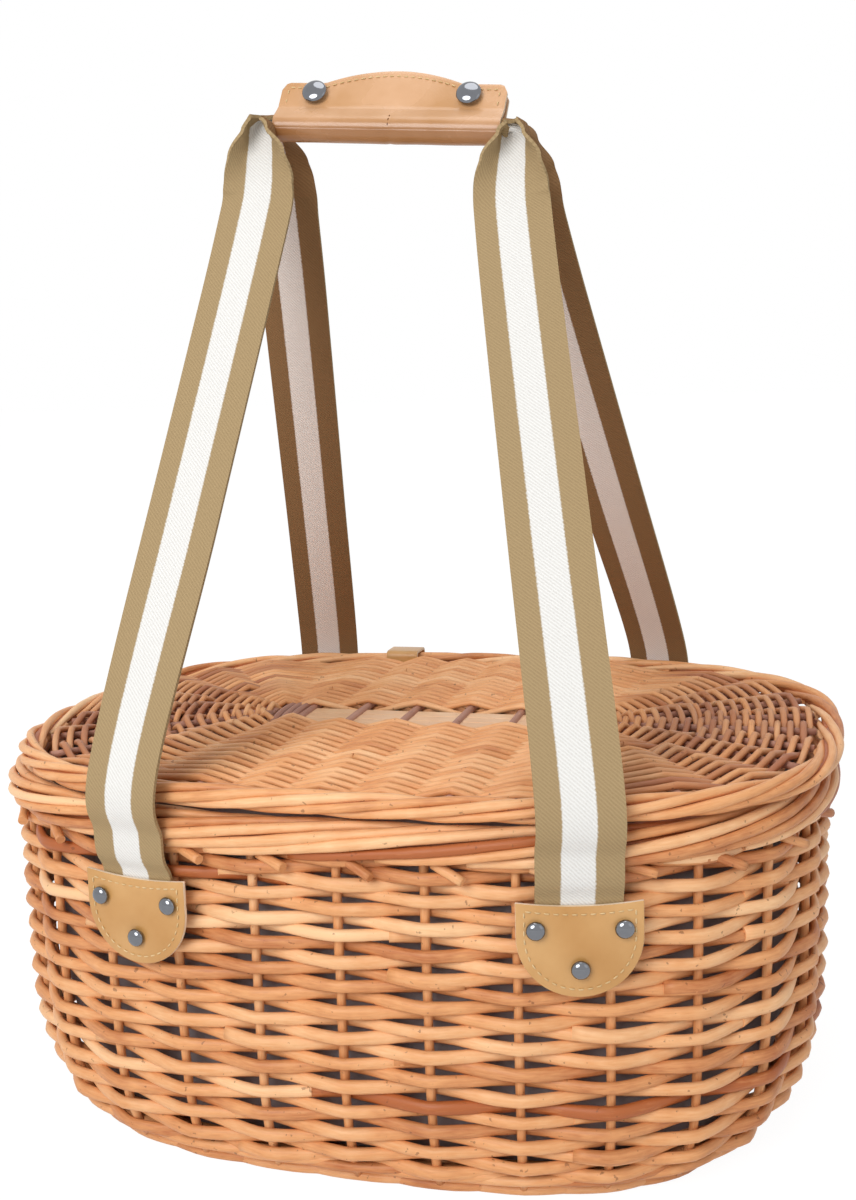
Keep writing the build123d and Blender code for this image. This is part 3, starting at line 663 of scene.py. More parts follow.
def wallRods():
    rods = []
    stakes, each = basket["stakes"], wall["rodsPerRow"]
    for row in range(wall["rows"]):
        z = wall["firstRow"] + wall["pitch"] * row
        starts = (row * wall["joinStep"] + k * (stakes // each) + random.choice((0, 1)) for k in range(each))
        joins = sorted(start % stakes for start in starts)
        for k in range(each):
            first = joins[k] - wall["overrun"]
            last = joins[(k + 1) % each] + (stakes if k == each - 1 else 0) + wall["overrun"]
            seed = random.random()
            tone = random.gauss(*wall["tone"])
            level = random.gauss(0, wall["levelJitter"])
            count = int((last - first) * wall["stepsPerStake"])
            samples, thin = [], []
            for i in range(count + 1):
                s = first + (last - first) * i / count
                swing = (1 if row % 2 else -1) * bentOver(s, wall["straight"])
                ends = max(0, 1 - (s - first) / wall["endRun"]) - max(0, 1 - (last - s) / wall["endRun"])
                height = z + level + waver(s, seed, wall["drift"]) + wall["endLift"] * ends
                samples.append(wallPoint(stakeShare(s), height, wall["outward"] + wall["swing"] * swing))
                thin.append(1 + wall["taper"] * (0.5 - i / count))
            wide, high = ([wall[side] * t for t in thin] for side in ("depth", "height"))
            rods.append(rodAlong(samples, wide, high, tone, seed))
    return rods


def stakeRods():
    rods = []
    low, top = stake["foot"], basket["wallTop"] + stake["aboveWall"]
    for k in range(basket["stakes"]):
        seed = random.random()
        samples = []
        for i in range(stake["points"]):
            z = low + (top - low) * i / (stake["points"] - 1)
            samples.append(wallPoint(stakeShare(k), z, wall["outward"] + waver(z, seed, stake["drift"])))
        rods.append(rodAlong(samples, stake["radius"], stake["radius"], random.gauss(*stake["tone"]), seed))
    return rods


dress(rodMesh("wallWeave", wallRods(), willow), "basket", "buff_willow", "wall_weave")
dress(rodMesh("sideStakes", stakeRods(), willow), "basket", "buff_willow", "side_stakes")
print("wall woven")

# Borders: each rod starts inside, comes over the outer face and goes in again on top
rim = {
    "strands": 30, "span": 6.3, "from": -74, "turn": 268, "radius": 2.45, "halfWidth": 10.2,
    "halfHeight": 9.8, "out": 2.4, "middle": 173.3, "steps": 56, "stray": 0.13,
}
lidBorder = {
    "strands": 32, "span": 4.6, "from": -165, "turn": 360, "radius": 2.25, "halfWidth": 7.2,
    "halfHeight": lidSize["halfHeight"], "out": -7.0, "middle": lidSize["middle"], "steps": 50, "stray": 0.2,
}
strand = {
    "radiusSpread": (0.86, 1.1), "lead": 7, "strayOut": 0.02, "waves": ((0.04, 0.4, 30),),
    "thinFrom": 0.75, "thinBy": 0.35, "tone": (0.6, 0.38),
}
# The round inside each border: its tone, below any real rod's, is painted shade seen in the gaps between the
# rods
core = {"points": 180, "wide": 0.5, "high": 0.46, "tone": -0.6, "seed": 0.5, "stain": 0.2}
cutEnd = {
    "points": 6, "start": 0.12, "reach": 0.34, "top": 165.0, "fall": 1.1, "out": 3.5, "lean": 1.1,
    "radius": 2.35, "tone": (0.35, 0.2),
}


def borderRods(ring, settings, shift=0.0):
    rods = []
    for k in range(settings["strands"]):
        seed = random.random()
        radius = settings["radius"] * random.uniform(*strand["radiusSpread"])
        lead = random.uniform(-strand["lead"], strand["lead"])
        stray = random.uniform(-settings["stray"], strand["strayOut"])
        a, b = settings["halfWidth"] - radius, settings["halfHeight"] - radius
        count = settings["steps"]
        samples, thick = [], []
        for i in range(count + 1):
            share = (k + settings["span"] * i / count) / settings["strands"]
            turn = math.radians(settings["from"] + lead + settings["turn"] * i / count)
            loose = 1 + stray + waver(i, seed, strand["waves"])
            point, normal = ring(share)
            place = point + normal * (settings["out"] + a * math.cos(turn) * loose)
            z = settings["middle"] + b * math.sin(turn) * min(loose, 1.0)
            samples.append((Vector((place.x + shift, place.y, z)), normal))
            late = max(0, i / count - strand["thinFrom"]) / (1 - strand["thinFrom"])
            thick.append(radius * (1 - strand["thinBy"] * late))
        rods.append(rodAlong(samples, thick, thick, random.gauss(*strand["tone"]), seed))
    # The core, painted dark as shade between the border's rods
    samples = []
    for i in range(core["points"] + 1):  # a dark round inside, so that no light shows between the rods
        point, normal = ring(i / core["points"])
        place = point + normal * settings["out"]
        samples.append((Vector((place.x + shift, place.y, settings["middle"])), normal))
    wide, high = settings["halfWidth"] * core["wide"], settings["halfHeight"] * core["high"]
    rods.append(rodAlong(samples, wide, high, core["tone"], core["seed"], core["stain"]))
    return rods


def cutEnds():
    # Short ends of the border's rods that come out under it beside the stakes
    rods = []
    for k in range(basket["stakes"]):
        seed = random.random()
        samples = []
        for i in range(cutEnd["points"]):
            s = k + cutEnd["start"] + cutEnd["reach"] * i / (cutEnd["points"] - 1)
            z = cutEnd["top"] - cutEnd["fall"] * i * (0.6 + 0.6 * seed)
            samples.append(wallPoint(stakeShare(s), z, cutEnd["out"] + cutEnd["lean"] * i))
        tone = random.gauss(*cutEnd["tone"])
        rods.append(rodAlong(samples, cutEnd["radius"], cutEnd["radius"], tone, seed))
    return rods


rimObject = rodMesh("rimBorder", borderRods(wallRing, rim) + cutEnds(), willow)
dress(rimObject, "basket", "buff_willow", "rim_border")
lidBorderObject = rodMesh("lidBorder", borderRods(lidRing, lidBorder, lidSize["shift"]), willow)
dress(lidBorderObject, "lid", "buff_willow", "lid_border")

# Foot: three rounds of three rods, each outside two stakes and inside one, and a rod that fills
# the corner behind them
foot = {
    "levels": (2.75, 7.3, 11.2), "rise": (0.15, 1.4, 0.9), "radius": 2.55, "swing": 4.0, "out": -0.5,
    "stepsPerStake": 6, "rodsPerRound": 3, "tone": (0.5, 0.15),
}
filler = {"out": -5.6, "height": 9.2, "wide": 2.5, "high": 2.4, "tone": 0.3, "seed": 0.4, "points": 180}


def footRods():
    rods = []
    stakes, each = basket["stakes"], foot["rodsPerRound"]
    topRound = len(foot["levels"]) - 1
    for layer, z in enumerate(foot["levels"]):
        for k in range(each):
            seed = random.random()
            count = stakes * foot["stepsPerStake"]
            samples = []
            for i in range(count + 1):
                s = stakes * i / count
                turn = 2 * math.pi * (s + k + layer * 0.5) / each
                height = z + foot["rise"][layer] * math.sin(turn)
                out = foot["swing"] * (0.25 + 0.75 * math.cos(turn)) + foot["out"]
                # Only the top round follows the wall's curve, the others lie under its foot
                point, normal = wallPoint(stakeShare(s), height if layer == topRound else 0.0, out)
                samples.append((Vector((point.x, point.y, height)), normal))
            rods.append(rodAlong(samples, foot["radius"], foot["radius"], random.gauss(*foot["tone"]), seed))
    samples = []
    for i in range(filler["points"] + 1):
        point, normal = wallPoint(i / filler["points"], 0.0, filler["out"])
        samples.append((Vector((point.x, point.y, filler["height"])), normal))
    rods.append(rodAlong(samples, filler["wide"], filler["high"], filler["tone"], filler["seed"]))
    return rods


dress(rodMesh("bottomWale", footRods(), willow), "basket", "buff_willow", "bottom_wale")
print("borders laid")

# Woven mats of the lid and the base
mat = {
    "crossXs": (-75, -45, -15, 15, 45, 75), "fanCentre": 84.0,
    "fanAngles": (-64, -48, -32, -16, 0, 16, 32, 48, 64), "lateAngles": (-48, -16, 16, 48),
    "spineHalf": 90.0, "spineWidth": 10.0, "spineGap": 0.6, "spineThickness": 1.7, "spineLower": 0.6,
    "straight": 0.8, "radiusSpread": (0.92, 1.06), "tone": (0.58, 0.2), "stainFrom": 92, "stainOver": 45,
    "mostStain": 0.9, "stickPoints": 9, "stickOver": 1.6, "stickTone": (0.55, 0.15),
}
wrap = {
    "count": 3, "inset": 3.0, "pitch": 4.4, "half": 22, "points": 9, "lift": 1.9, "dip": 2.3,
    "skew": 0.06, "wide": 2.1, "high": 2.0, "tone": (0.5, 0.15),
}
lidMat = {
    "halfX": 200.6, "halfY": 149.6, "innerX": 97.0, "innerY": 20.0, "rows": 32, "radius": 1.75,
    "swing": 3.75, "middle": lidSize["middle"], "shift": lidSize["shift"], "steps": 6,
    "stickRadius": 2.3, "lateFrom": 0.45, "stain": 1.1,
}
baseMat = {
    "halfX": 162.4, "halfY": 130.4, "innerX": 97.0, "innerY": 20.0, "rows": 23, "radius": 1.7,
    "swing": 2.9, "middle": 6.0, "shift": 0.0, "steps": 4, "stickRadius": 1.6, "lateFrom": 0.5, "stain": 0.4,
}


def reach(halfX, halfY, start, direction):
    # How far it is from a point inside the oval to its edge
    near, far = 0.0, 2 * halfX
    for step in range(30):
        middle = (near + far) / 2
        p = start + direction * middle
        outside = abs(p.x / halfX) ** basket["power"] + abs(p.y / halfY) ** basket["power"] > 1
        near, far = (near, middle) if outside else (middle, far)
    return near


def matOval(size, share):
    # Half sizes of a row, from the inner edge at 0 to the outer edge at 1
    return [size["inner" + way] + share * (size["half" + way] - size["inner" + way]) for way in "XY"]


def matSticks():
    sticks = []
    for side in (1, -1):
        for angle in sorted(mat["fanAngles"]):
            direction = Vector((math.cos(math.radians(angle)), math.sin(math.radians(angle)), 0)) * side
            kind = "late" if angle in mat["lateAngles"] else "fan"
            sticks.append((kind, Vector((side * mat["fanCentre"], 0, 0)), direction))
        for x in mat["crossXs"][::-side]:
            sticks.append(("cross", Vector((x, 0, 0)), Vector((0, side, 0))))
    return sticks


def stainAt(size, seed, x):
    # Darker patches towards the ends of the mat
    patch = noise.noise(Vector((seed * 90, x * 0.02, 0)))
    towardsEnd = min(1.0, max(0.0, (abs(x) - mat["stainFrom"]) / mat["stainOver"]))
    stain = size["stain"] * towardsEnd * (0.45 + 0.55 * patch + 0.25 * math.sin(seed * 60))
    return max(0, min(mat["mostStain"], stain))


def matRods(size):
    # Rods woven row by row round the spine, over one stick and under the next
    rods = []
    sticks = matSticks()
    for row in range(size["rows"]):
        share = (row + 0.5) / size["rows"]
        halfX, halfY = matOval(size, share)
        crossed = [(s, d) for kind, s, d in sticks if kind != "late" or share > size["lateFrom"]]
        anchors = [start + direction * reach(halfX, halfY, start, direction) for start, direction in crossed]
        count, steps = len(anchors), size["steps"]
        seed = random.random()
        tone = random.gauss(*mat["tone"])
        radius = size["radius"] * random.uniform(*mat["radiusSpread"])
        offset = random.randrange(count)
        samples, stain = [], []
        for i in range(count * steps + 1):
            s = offset + i / steps
            whole = math.floor(s + 1e-9)
            k, t = whole % count, s - whole
            p = hermite(anchors[k - 1], anchors[k], anchors[(k + 1) % count], anchors[(k + 2) % count], t)
            swing = bentOver(t, mat["straight"]) * (1 if (k + row) % 2 == 0 else -1)
            z = size["middle"] + size["swing"] * swing
            samples.append((Vector((p.x + size["shift"], p.y, z)), ovalNormal(halfX, halfY, p.x, p.y)))
            stain.append(stainAt(size, seed, p.x))
        rods.append(rodAlong(samples, radius, size["radius"], tone, seed, stain))
    return rods


def hermite(a, b, c, d, t):
    # A smooth way from b to c, with a before them and d after
    return 0.5 * (2 * b + (c - a) * t + (2 * a - 5 * b + 4 * c - d) * t * t + (3 * b - a - 3 * c + d) * t ** 3)


def stickRods(size):
    rods = []
    for kind, start, direction in matSticks():
        if kind == "cross" and direction.y < 0:
            continue  # the same stick as the one that points the other way
        end = reach(size["halfX"] + mat["stickOver"], size["halfY"] + mat["stickOver"], start, direction)
        if kind == "cross":
            first = -end
        elif kind == "fan":
            slope = max(0.3, direction.x * (1 if start.x > 0 else -1))
            first = (mat["spineHalf"] + 2 - mat["fanCentre"]) / slope
        else:
            first = reach(*matOval(size, size["lateFrom"]), start, direction)
        radius = size["stickRadius"] * (1.0 if kind == "cross" else 0.8)
        samples = []
        for i in range(mat["stickPoints"]):
            p = start + direction * (first + (end - first) * i / (mat["stickPoints"] - 1))
            samples.append((Vector((p.x + size["shift"], p.y, size["middle"])), Vector((0, 0, 1))))
        rods.append(rodAlong(samples, radius, radius, random.gauss(*mat["stickTone"]), random.random()))
    return rods


def endWraps(size):
    # Three short sticks side by side over each end of the spine
    rods = []
    for side in (1, -1):
        for k in range(wrap["count"]):
            x = side * (mat["spineHalf"] - wrap["inset"] - wrap["pitch"] * k) + size["shift"]
            samples = []
            for i in range(wrap["points"]):
                y = wrap["half"] * (2 * i / (wrap["points"] - 1) - 1)
                z = size["middle"] + wrap["lift"] - wrap["dip"] * (abs(y) / wrap["half"]) ** 3
                samples.append((Vector((x + wrap["skew"] * y * side, y, z)), Vector((1, 0, 0))))
            tone = random.gauss(*wrap["tone"])
            rods.append(rodAlong(samples, wrap["wide"], wrap["high"], tone, random.random()))
    return rods


def spineMesh(name, size):
    # Flat strips side by side with softened edges
    bpy.ops.object.select_all(action="DESELECT")
    bpy.ops.mesh.primitive_cube_add(size=1, location=(0, 0, 0))
    strip = bpy.context.object
    strip.name = name
    pitch = (mat["spineWidth"] + mat["spineGap"]) * mm
    bpy.ops.object.mode_set(mode="EDIT")
    sizes = (2 * mat["spineHalf"], mat["spineWidth"], mat["spineThickness"])
    bpy.ops.transform.resize(value=[size * mm for size in sizes])
    bpy.ops.mesh.bevel(offset=0.5 * mm, segments=2)
    bpy.ops.object.mode_set(mode="OBJECT")
    applyModifier(
        strip, "ARRAY", "sideBySide", count=3, use_relative_offset=False, use_constant_offset=True,
        constant_offset_displace=(0, pitch, 0),
    )
    middle = (size["middle"] - mat["spineLower"]) * mm
    strip.data.transform(Matrix.Translation((size["shift"] * mm, -pitch, middle)))
    layer = strip.data.uv_layers.active
    tone = strip.data.attributes.new("rodTone", "FLOAT", "POINT")
    strip.data.attributes.new("rodStain", "FLOAT", "POINT")
    for v in strip.data.vertices:
        tone.data[v.index].value = 0.55 + 0.12 * math.sin(round(v.co.y / pitch) * 2.0)
    for loop in strip.data.loops:
        co = strip.data.vertices[loop.vertex_index].co
        layer.data[loop.index].uv = (co.x, co.y * 30)
    strip.data.materials.append(peeled)
    return strip


for prefix, size, body in (("lid", lidMat, "lid"), ("base", baseMat, "basket")):
    weaveObject = rodMesh(prefix + "Weave", matRods(size), willow, 8)
    dress(weaveObject, body, "buff_willow", prefix + "_weave")
    sticksObject = rodMesh(prefix + "Sticks", stickRods(size) + endWraps(size), barked, 8)
    dress(sticksObject, body, "brown_willow", prefix + "_cross_sticks", prefix + "_end_sticks")
    dress(spineMesh(prefix + "Spine", size), body, "peeled_willow", prefix + "_spine")
print("mats woven")


# Planes on the wall that carry the tabs and rivets
def planeAt(across, upward, outward, place):
    # Takes X, Y and Z to the three directions and the origin to the place, in metres
    matrix = Matrix((across, upward, outward)).transposed().to_4x4()
    matrix.translation = place
    return matrix


def wallPlane(x, side, z):
    y = side * ovalY(basket["halfX"], basket["halfY"], x)
    normal = ovalNormal(basket["halfX"], basket["halfY"], x, y)
    across = Vector((0, 0, 1)).cross(normal).normalized()
    place = (Vector((x, y, z)) + normal * basket["wallFace"]) * mm
    return planeAt(across, normal.cross(across), normal, place)


tab = {
    "frontX": (-94.5, 106.5), "rearX": (-106.5, 106.5), "top": 152.0, "width": 55.0, "height": 43.0,
    "shoulder": 16.0, "hollow": 2.0, "thickness": 2.0, "seat": 2.1, "bevel": 0.45, "stitchInset": 3.6,
}
tabPlanes = {
    "front": [wallPlane(x, -1, tab["top"]) for x in tab["frontX"]],
    "rear": [wallPlane(x, 1, tab["top"]) for x in tab["rearX"]],
}
rivetPattern = ((-19, -12), (19, -12), (0, -30))


def arcPoints(a, m, b, count):
    # Points on the circle through three points, from a to b
    a, m, b = Vector(a), Vector(m), Vector(b)
    squares = [p.length_squared for p in (a, m, b)]
    d = 2 * (a.x * (m.y - b.y) + m.x * (b.y - a.y) + b.x * (a.y - m.y))
    ux = (squares[0] * (m.y - b.y) + squares[1] * (b.y - a.y) + squares[2] * (a.y - m.y)) / d
    uy = (squares[0] * (b.x - m.x) + squares[1] * (a.x - b.x) + squares[2] * (m.x - a.x)) / d
    start, through, end = (math.atan2(p.y - uy, p.x - ux) for p in (a, m, b))
    turn = (end - start) % (2 * math.pi)
    if (through - start) % (2 * math.pi) > turn:
        turn -= 2 * math.pi
    radius = (a - Vector((ux, uy))).length
    angles = [start + turn * i / count for i in range(count + 1)]
    return [(ux + radius * math.cos(angle), uy + radius * math.sin(angle)) for angle in angles]


def tabOutline(inset=0.0):
    half = tab["width"] / 2 - inset
    foot = -tab["height"] + inset
    line = arcPoints((-half, -inset), (0, -inset - tab["hollow"]), (half, -inset), 14)
    return line + arcPoints((half, -tab["shoulder"]), (0, foot), (-half, -tab["shoulder"]), 30)


def joinAll(objects, name):
    bpy.ops.object.select_all(action="DESELECT")
    for obj in objects:
        obj.select_set(True)
    bpy.context.view_layer.objects.active = objects[0]
    bpy.ops.object.join()
    objects[0].name = name
    objects[0].data.name = name
    return objects[0]


def flatLeather(name, outline, matrix):
    # A cut piece: outline filled, extruded, its edges softened, pale on the cut
    verts = [(x * mm, y * mm, 0) for x, y in outline]
    obj = meshObject(name, verts, [list(range(len(verts)))], leather, cutLeather)
    bpy.ops.object.mode_set(mode="EDIT")
    bpy.ops.mesh.select_all(action="SELECT")
    bpy.ops.mesh.extrude_region_move(TRANSFORM_OT_translate={"value": (0, 0, tab["thickness"] * mm)})
    bpy.ops.object.mode_set(mode="OBJECT")
    turnNormalsOut()
    softenEdges(obj, tab["bevel"], 3, 50, 40)
    for face in obj.data.polygons:
        if abs(face.normal.z) < 0.5:
            face.material_index = 1
    obj.data.transform(Matrix.Translation((0, 0, tab["seat"] * mm)))
    obj.data.transform(matrix)
    return obj


# Rings of a stitch: how far along it, how high and how fat
stitchRings = ((-0.5, -0.15, 0.5), (-0.28, 0.75, 1.0), (0.28, 0.75, 1.0), (0.5, -0.15, 0.5))
stitchSides = 6


def stitches(name, runs, length=2.5, gap=1.4, radius=0.38, thread=sewingThread):
    # Short raised stitches along each run of points. A run is points and an outward normal.
    verts, faces = [], []
    for points, normal in runs:
        points = [Vector(p) for p in points]
        run = [0.0]
        for a, b in zip(points, points[1:]):
            run.append(run[-1] + (b - a).length)
        count = max(1, int(run[-1] / (length + gap)))
        for k in range(count):
            middle = (k + 0.5) * run[-1] / count
            i = min(max(bisect_right(run, middle) - 1, 0), len(points) - 2)
            part = (middle - run[i]) / max(1e-9, run[i + 1] - run[i])
            centre = points[i].lerp(points[i + 1], part)
            along = (points[i + 1] - points[i]).normalized()
            out = Vector(normal(centre) if callable(normal) else normal).normalized()
            side = along.cross(out).normalized()
            base = len(verts)
            for t, lift, fat in stitchRings:
                for a in range(stitchSides):
                    turn = 2 * math.pi * a / stitchSides
                    raised = out * (radius * (lift + fat * math.sin(turn) * 0.7))
                    aside = side * (radius * fat * math.cos(turn))
                    verts.append((centre + along * (t * length) + raised + aside) * mm)
            for ring in range(len(stitchRings) - 1):
                for a in range(stitchSides):
                    low = base + ring * stitchSides
                    b = (a + 1) % stitchSides
                    faces.append((low + a, low + b, low + stitchSides + b, low + stitchSides + a))
            faces.append([base + a for a in range(stitchSides)][::-1])
            faces.append([len(verts) - stitchSides + a for a in range(stitchSides)])
    obj = meshObject(name, [tuple(v) for v in verts], faces, thread)
    obj.data.shade_smooth()
    obj.data.uv_layers.new(name="threadUv")
    turnNormalsOut()
    return obj


for name, planes in tabPlanes.items():
    pieces = [flatLeather(name + "Tab", tabOutline(), plane) for plane in planes]
    dress(joinAll(pieces, name + "Tabs"), "basket", "leather", name + "_tabs")
    runs = []
    for plane in planes:
        line = tabOutline(tab["stitchInset"])
        lift = tab["seat"] + tab["thickness"]
        line = [plane @ (Vector((x, y, lift)) * mm) / mm for x, y in line + line[:1]]
        runs.append((line, plane.to_3x3() @ Vector((0, 0, 1))))
    dress(stitches(name + "TabStitches", runs), "basket", None)
print("tabs sewn")

# Rivets, caps and snaps
rivet = {"radius": 4.75, "dome": 3.2, "flange": 0.7}
cap = {"radius": 7.2, "dome": 3.0, "flange": 0.8}
domeShare = 0.9  # of the radius, the rest is the flange


def domed(name, size):
    # A low dome with a thin flange round it, turned up from half a sphere
    inner, flange = size["radius"] * domeShare, size["flange"]
    bpy.ops.object.select_all(action="DESELECT")
    bpy.ops.mesh.primitive_uv_sphere_add(segments=28, ring_count=14, radius=inner * mm, location=(0, 0, 0))
    obj = bpy.context.object
    bpy.ops.object.mode_set(mode="EDIT")
    bpy.ops.mesh.select_all(action="SELECT")
    bpy.ops.mesh.bisect(plane_co=(0, 0, 0), plane_no=(0, 0, 1), clear_inner=True)
    bpy.ops.mesh.select_all(action="SELECT")
    bpy.ops.transform.resize(value=(1, 1, (size["dome"] - flange) / inner))
    bpy.ops.transform.translate(value=(0, 0, flange * mm))
    bpy.ops.mesh.select_all(action="DESELECT")
    bpy.ops.object.mode_set(mode="OBJECT")
    for v in obj.data.vertices:
        v.select = abs(v.co.z - flange * mm) < 1e-6
    for e in obj.data.edges:
        e.select = all(obj.data.vertices[i].select for i in e.vertices)
    bpy.ops.object.mode_set(mode="EDIT")
    bpy.ops.mesh.select_mode(type="EDGE")
    bpy.ops.mesh.extrude_region_move()
    widen = 0.97 / domeShare
    bpy.ops.transform.resize(value=(widen, widen, 1))
    bpy.ops.mesh.extrude_region_move()
    bpy.ops.transform.resize(value=(1.03, 1.03, 1))
    bpy.ops.transform.translate(value=(0, 0, -flange * 0.5 * mm))
    bpy.ops.mesh.extrude_region_move()
    bpy.ops.transform.translate(value=(0, 0, -flange * 0.5 * mm))
    bpy.ops.mesh.edge_face_add()
    bpy.ops.mesh.select_mode(type="VERT")
    bpy.ops.object.mode_set(mode="OBJECT")
    turnNormalsOut()
    bpy.ops.object.shade_smooth_by_angle(angle=math.radians(50))
    obj.data.materials.append(chrome)
    obj.name = name
    return obj


def copiesAt(first, matrices, name):
    made = []
    for m in matrices:
        copy = first.copy()
        copy.data = first.data.copy()
        copy.data.transform(m)
        bpy.context.collection.objects.link(copy)
        made.append(copy)
    bpy.data.objects.remove(first)
    return joinAll(made, name)


rivetSeat = tab["seat"] + tab["thickness"]
tabRivetPlanes = [
    plane @ Matrix.Translation(Vector((x, y, rivetSeat)) * mm)
    for planes in tabPlanes.values() for plane in planes for x, y in rivetPattern
]
dress(copiesAt(domed("rivet", rivet), tabRivetPlanes, "tabRivets"), "basket", "chrome", "tab_rivets")

hinge = {
    "xs": (-55.0, 65.0), "width": 21.0, "leather": 1.8, "clearance": 0.3, "drop": 33.0, "bend": 6.0,
    "rivetDrop": 26.0, "slit": 0.2, "rise": 5.0, "spread": 60.0,
    "strapCorner": 4.0, "loopCorner": 3.0, "tuck": 0.2, "tongue": 4.0,
}
hingeNear = hinge["spread"] - hinge["width"] / 2
hingeFar = hinge["spread"] + hinge["width"] / 2
hingeWallY = ovalY(basket["halfX"], basket["halfY"], hingeNear - lidSize["shift"]) + basket["wallFace"]
hingeRivetY = hingeWallY + hinge["clearance"] + hinge["leather"]
hingeRivetZ = basket["rimTop"] - hinge["rivetDrop"]
hingeRivetPlanes = [
    planeAt((-1, 0, 0), (0, 0, 1), (0, 1, 0), Vector((x, hingeRivetY, hingeRivetZ)) * mm)
    for x in hinge["xs"]
]
dress(copiesAt(domed("rivet", rivet), hingeRivetPlanes, "hingeRivets"), "basket", "chrome", "hinge_rivets")
print("rivets set")

# Hinge straps and loops
strapAcross = 6


def bentLeather(name, profile, x):
    # A strap bent along a line in the Y and Z of the basket, of one width in X
    verts, faces = [], []
    for y, z in profile:
        for k in range(strapAcross + 1):
            verts.append(((x - hinge["width"] / 2 + hinge["width"] * k / strapAcross) * mm, y * mm, z * mm))
    for i in range(len(profile) - 1):
        for k in range(strapAcross):
            a, b = i * (strapAcross + 1) + k, (i + 1) * (strapAcross + 1) + k
            faces.append((a, a + 1, b + 1, b))
    obj = meshObject(name, verts, faces, leather, cutLeather)
    turnNormalsOut()
    thickness = hinge["leather"] * mm
    applyModifier(obj, "SOLIDIFY", "leather", thickness=thickness, offset=0, material_offset_rim=1)
    softenEdges(obj, 0.35, 2, 60, 45)
    return obj


def rounded(points, radius, steps=5):
    # Corners of a line turned into small arcs
    points = [Vector(p) for p in points]
    result = [tuple(points[0])]
    for a, p, b in zip(points, points[1:], points[2:]):
        cut = min(radius, (a - p).length * 0.45, (b - p).length * 0.45)
        start, end = p + (a - p).normalized() * cut, p + (b - p).normalized() * cut
        for k in range(steps + 1):
            t = k / steps
            result.append(tuple(start * (1 - t) ** 2 + p * 2 * t * (1 - t) + end * t * t))
    return result + [tuple(points[-1])]


half = hinge["leather"] / 2
rimOutY = ovalY(basket["halfX"], basket["halfY"], hingeNear - lidSize["shift"]) + basket["rimFace"]
hingeRimY = rimOutY + hinge["clearance"]
strapWallY = hingeWallY + hinge["clearance"]
strapBendZ = basket["wallTop"] - 0.35
strapLine = [
    (hingeRimY + half, basket["rimTop"] + 0.1), (hingeRimY + half, strapBendZ),
    (strapWallY + half, strapBendZ - hinge["bend"]), (strapWallY + half, basket["rimTop"] - hinge["drop"]),
]
straps = [bentLeather("strap", rounded(strapLine, hinge["strapCorner"]), x) for x in hinge["xs"]]
dress(joinAll(straps, "basketHingeStraps"), "basket", "leather", "basket_hinge_straps")

lidTop = lidSize["middle"] + lidSize["halfHeight"]
innerX, innerY = (lidSize[way] - lidSize["borderWidth"] for way in ("halfX", "halfY"))
loopOutY = ovalY(lidSize["halfX"], lidSize["halfY"], hingeNear) + hinge["clearance"] + half
loopInY = ovalY(innerX, innerY, hingeFar) - hinge["clearance"] - half
loopTop = lidTop + hinge["clearance"] + half
loopLow = basket["rimTop"] + hinge["slit"] + half
hingeLineY = hingeRimY + hinge["leather"]
loopLine = [
    (hingeLineY - hinge["tuck"], loopLow), (loopOutY, loopLow + hinge["rise"]),
    (loopOutY, loopTop), (loopInY, loopTop), (loopInY, loopLow), (hingeLineY - hinge["tongue"], loopLow),
]
loops = [bentLeather("loop", rounded(loopLine, hinge["loopCorner"]), x) for x in hinge["xs"]]
dress(joinAll(loops, "lidHingeLoops"), "lid", "leather", "lid_hinge_loops")
print("hinges sewn")

# Cloth lining
lining = {
    "gap": 11.6, "floor": 12.4, "top": 181.6, "rings": 26, "columns": 360, "fold": 0.9, "folds": 38,
    "ripple": 0.5, "turnIn": 1.0, "turnInShare": 14, "floorRings": 14, "floorRipple": 0.25,
}


def liningWall():
    verts, faces, uvs = [], [], []
    columns, rings = lining["columns"], lining["rings"]
    height = lining["top"] - lining["floor"]
    for i in range(rings + 1):
        level = i / rings
        z = lining["floor"] + height * level
        for j in range(columns):
            point, normal = wallRing(j / columns)
            turn = j * 2 * math.pi * lining["folds"] / columns + 2 * math.sin(j * 0.05)
            wave = lining["fold"] * math.sin(turn) * level
            wave += lining["ripple"] * noise.noise(Vector((point.x * 0.05, point.y * 0.05, z * 0.03)))
            bend = lining["turnIn"] * max(0.0, 1 - level * lining["turnInShare"]) ** 2
            place = point - normal * (lining["gap"] + turnIn(z, normal) + wave + bend)
            verts.append((place.x * mm, place.y * mm, z * mm))
    for i in range(rings):
        for j in range(columns):
            k = (j + 1) % columns
            faces.append((i * columns + j, i * columns + k, (i + 1) * columns + k, (i + 1) * columns + j))
            for a, b in ((j, i), (j + 1, i), (j + 1, i + 1), (j, i + 1)):
                uvs.append((a / columns * wallLength * mm, b / rings * height * mm))
    obj = meshObject("liningWall", verts, faces, liningCloth)
    obj.data.shade_smooth()
    setUvs(obj, "clothUv", uvs)
    return obj, verts[:columns]


def liningFloor(edge):
    verts, faces = [(0, 0, lining["floor"] * mm)], []
    rings, columns = lining["floorRings"], len(edge)
    for i in range(1, rings + 1):
        t = i / rings
        for x, y, z in edge:
            lift = lining["floorRipple"] * noise.noise(Vector((x * 30 * t, y * 30 * t, 1.0)))
            verts.append((x * t, y * t, z + lift * mm * (1 - t)))
    for j in range(columns):
        faces.append((0, 1 + j, 1 + (j + 1) % columns))
    for i in range(rings - 1):
        for j in range(columns):
            k = (j + 1) % columns
            a, b = 1 + i * columns, 1 + (i + 1) * columns
            faces.append((a + j, b + j, b + k, a + k))
    obj = meshObject("liningFloor", verts, faces, liningCloth)
    obj.data.shade_smooth()
    setUvs(obj, "clothUv", [verts[k][:2] for face in faces for k in face])
    return obj


